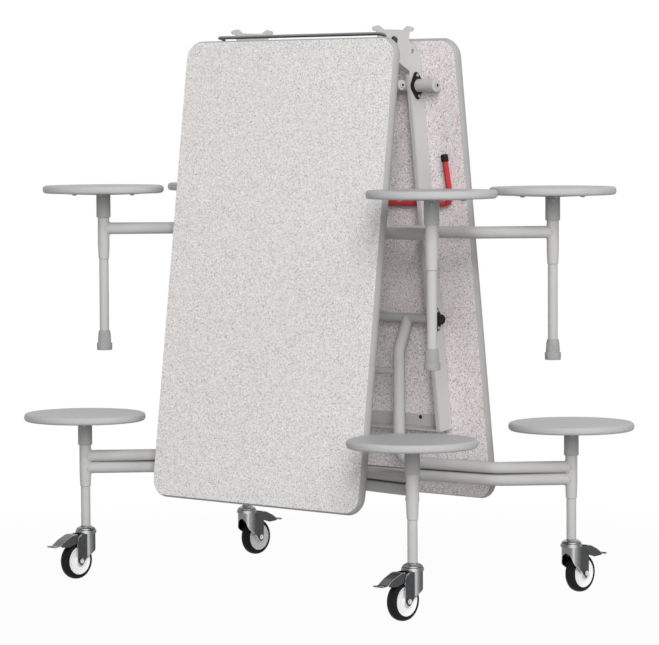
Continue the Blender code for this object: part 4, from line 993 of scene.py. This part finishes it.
arch = rounded([(0.0100, 0.0050), (0.0240, 0.0042), (0.0520, -0.0078), (0.0735, -0.0222),
                (0.0868, -0.0236)], (0.0, 0.022, 0.05, 0.012, 0.0), steps=8)
lip = rounded([(0.0850, -0.0236), (0.0890, -0.0238), (0.0905, -0.0212)], (0.0, 0.003, 0.0), steps=5)
cheek = rounded([(-0.0060, 0.0), (-0.0036, 0.0040), (0.0090, 0.0044), (0.0285, 0.0018), (0.0510, -0.0086),
                 (0.0722, -0.0228), (0.0660, -0.0256), (0.0400, -0.0272), (0.0140, -0.0200),
                 (0.0, -0.0062)], 0.003, closed=True, steps=4)
plate = pressed(cheek, 0.0012, 0.0004, [circle((0.0, 0.0), 0.0034, 16)])
cheeks = []
for sign in (-1, 1):
    cheeks += moved(plate, (sign * (PEDAL_HALF - 0.0002), *PEDAL_AT), HEIGHT_FIRST)
strap = moved([hood(arch, PEDAL_HALF, 0.0016), hood(lip, PEDAL_HALF + 0.0006, 0.0034)], (0.0, *PEDAL_AT))
for side, hand in CORNERS:
    name, body, where = f"{side}_{hand}", f"{side}_{hand}_brake", on_caster(side, hand)
    solid(f"{name}_pedal_cheeks", cheeks, where, dark_steel, body, [f"{name}_brake_pedal"],
          PLATE_CRISP)
    solid(f"{name}_pedal_strap", strap, where, plated_steel, body, (), painted_light=painted_strap_highlight)


# A thin bent rod hangs on the front channels and runs along the hinge; it swings into the horns' notches.
# It is plain dark steel rod, bent cold.
LATCH_RADIUS = 0.0046
LATCH_INSIDE, LATCH_X = 0.240, 0.290
LATCH_REACH, LATCH_HOOK = -0.069, 0.025
LATCH_BEND = 0.010


def painted_rod_highlight(points, normals):
    """Painted highlight: a dull dark rod, a little paler on its upper side."""
    return np.interp(normals[:, 2], [-1.0, 0.0, 0.6, 1.0], [0.08, 0.14, 0.30, 0.22])


latch_run = [(LATCH_INSIDE, 0.0, 0.0), (LATCH_X, 0.0, 0.0), (LATCH_X, LATCH_REACH, 0.0),
             (LATCH_X, LATCH_REACH, LATCH_HOOK)]
latch_run += [(-x, along, over) for x, along, over in reversed(latch_run)]
latch_path = rounded(latch_run, LATCH_BEND, steps=8) + (0.0, *LATCH_AT)
solid("latch_rod", [swept(latch_path, LATCH_RADIUS, 24)], on_half("front"), plated_steel, "latch",
      ["latch_bar"], painted_light=painted_rod_highlight)


# A bent rod across the rear half is the release lever, dipped in red plastic. It turns in the channels.
# Its two handles point up along the board and end in black caps.
LEVER_X = 0.3286
LEVER_HANDLE = 0.129
LEVER_TILT = math.radians(5.0)
LEVER_RADIUS = 0.0078
LEVER_BEND = 0.025
red_lever_coat = coating("red_lever_coat", (0.435, 0.036, 0.041), (0.505, 0.049, 0.053), cloud=(45.0, 3.0),
                         rough=(0.30, 0.14, 180.0), peel=(300.0, 0.00012), gloss=0.25)

handle_way = (0.0, -math.cos(LEVER_TILT), -math.sin(LEVER_TILT))
handle_end = LEVER_HANDLE * np.array(handle_way)
bar_end = np.array((LEVER_X, 0.0, 0.0))
lever_run = [handle_end - bar_end, -bar_end, bar_end, handle_end + bar_end]
lever_path = rounded(lever_run, LEVER_BEND, steps=12) + (0.0, *LEVER_AT)
solid("red_lever_rod", [swept(lever_path, LEVER_RADIUS, 28)], on_half("rear"), red_lever_coat, "lever",
      ["release_lever"])
cap_profile = rounded([(0.0, 0.0032), (0.0100, 0.0032), (0.0100, -0.0150), (0.0080, -0.0150),
                       (0.0080, 0.0003), (0.0, 0.0003)], (0.0, 0.0028, 0.0008, 0.0003, 0.0003, 0.0), steps=6)
for hand, way in HANDS.items():
    cap = turned(cap_profile, way * bar_end + handle_end + (0.0, *LEVER_AT), handle_way, 32)
    solid(f"{hand}_lever_cap", [cap], on_half("rear"), black_plastic, "lever", [f"{hand}_lever_grip"])


# A flat steel link under each half joins its two frames' stretchers, so that the stools stay upright.
# It has a round eye with a ring on each stretcher, and the powder coat of the frames.
LINK_LENGTH = 0.617
LINK_THICKNESS = 0.008
EYE_RADIUS, EYE_BORE = 0.0150, STRETCHER_RADIUS + 0.0004
WAIST_START, WAIST_HALF = 0.030, 0.011
angle = np.linspace(-np.pi / 2, np.pi / 2, 15)
tip = EYE_RADIUS * np.stack([np.cos(angle), np.sin(angle)], 1)
waist = [(-WAIST_START, WAIST_HALF), (-LINK_LENGTH + WAIST_START, WAIST_HALF)]
outline = np.concatenate([tip, waist, -tip - (LINK_LENGTH, 0.0), [(x, -y) for x, y in reversed(waist)]])
holes = [circle((along, 0.0), EYE_BORE) for along in (0.0, -LINK_LENGTH)]
link = moved(pressed(outline, LINK_THICKNESS, 0.0009, holes), (0.0, 0.0, 0.0), HEIGHT_FIRST)
ring = [(EYE_BORE, -0.006), (0.0146, -0.006), (0.0154, -0.0052), (0.0154, 0.0052), (0.0146, 0.006),
        (EYE_BORE, 0.006)]
link += [turned(ring, (0.0, along, 0.0), ALONG, ring=True) for along in (0.0, -LINK_LENGTH)]
pivot_out, pivot_height = PIVOT_PLACES["outer"]
for side, sign in SIDES.items():
    eye = (0.0, sign * (pivot_out + STRUT_BACK), pivot_height + STRETCHER_LEVEL)
    solid(f"{side}_flat_link", link, on_half(side, eye), grey_powder_coat, f"{side}_link",
          [f"{side}_levelling_link"], PLATE_CRISP)
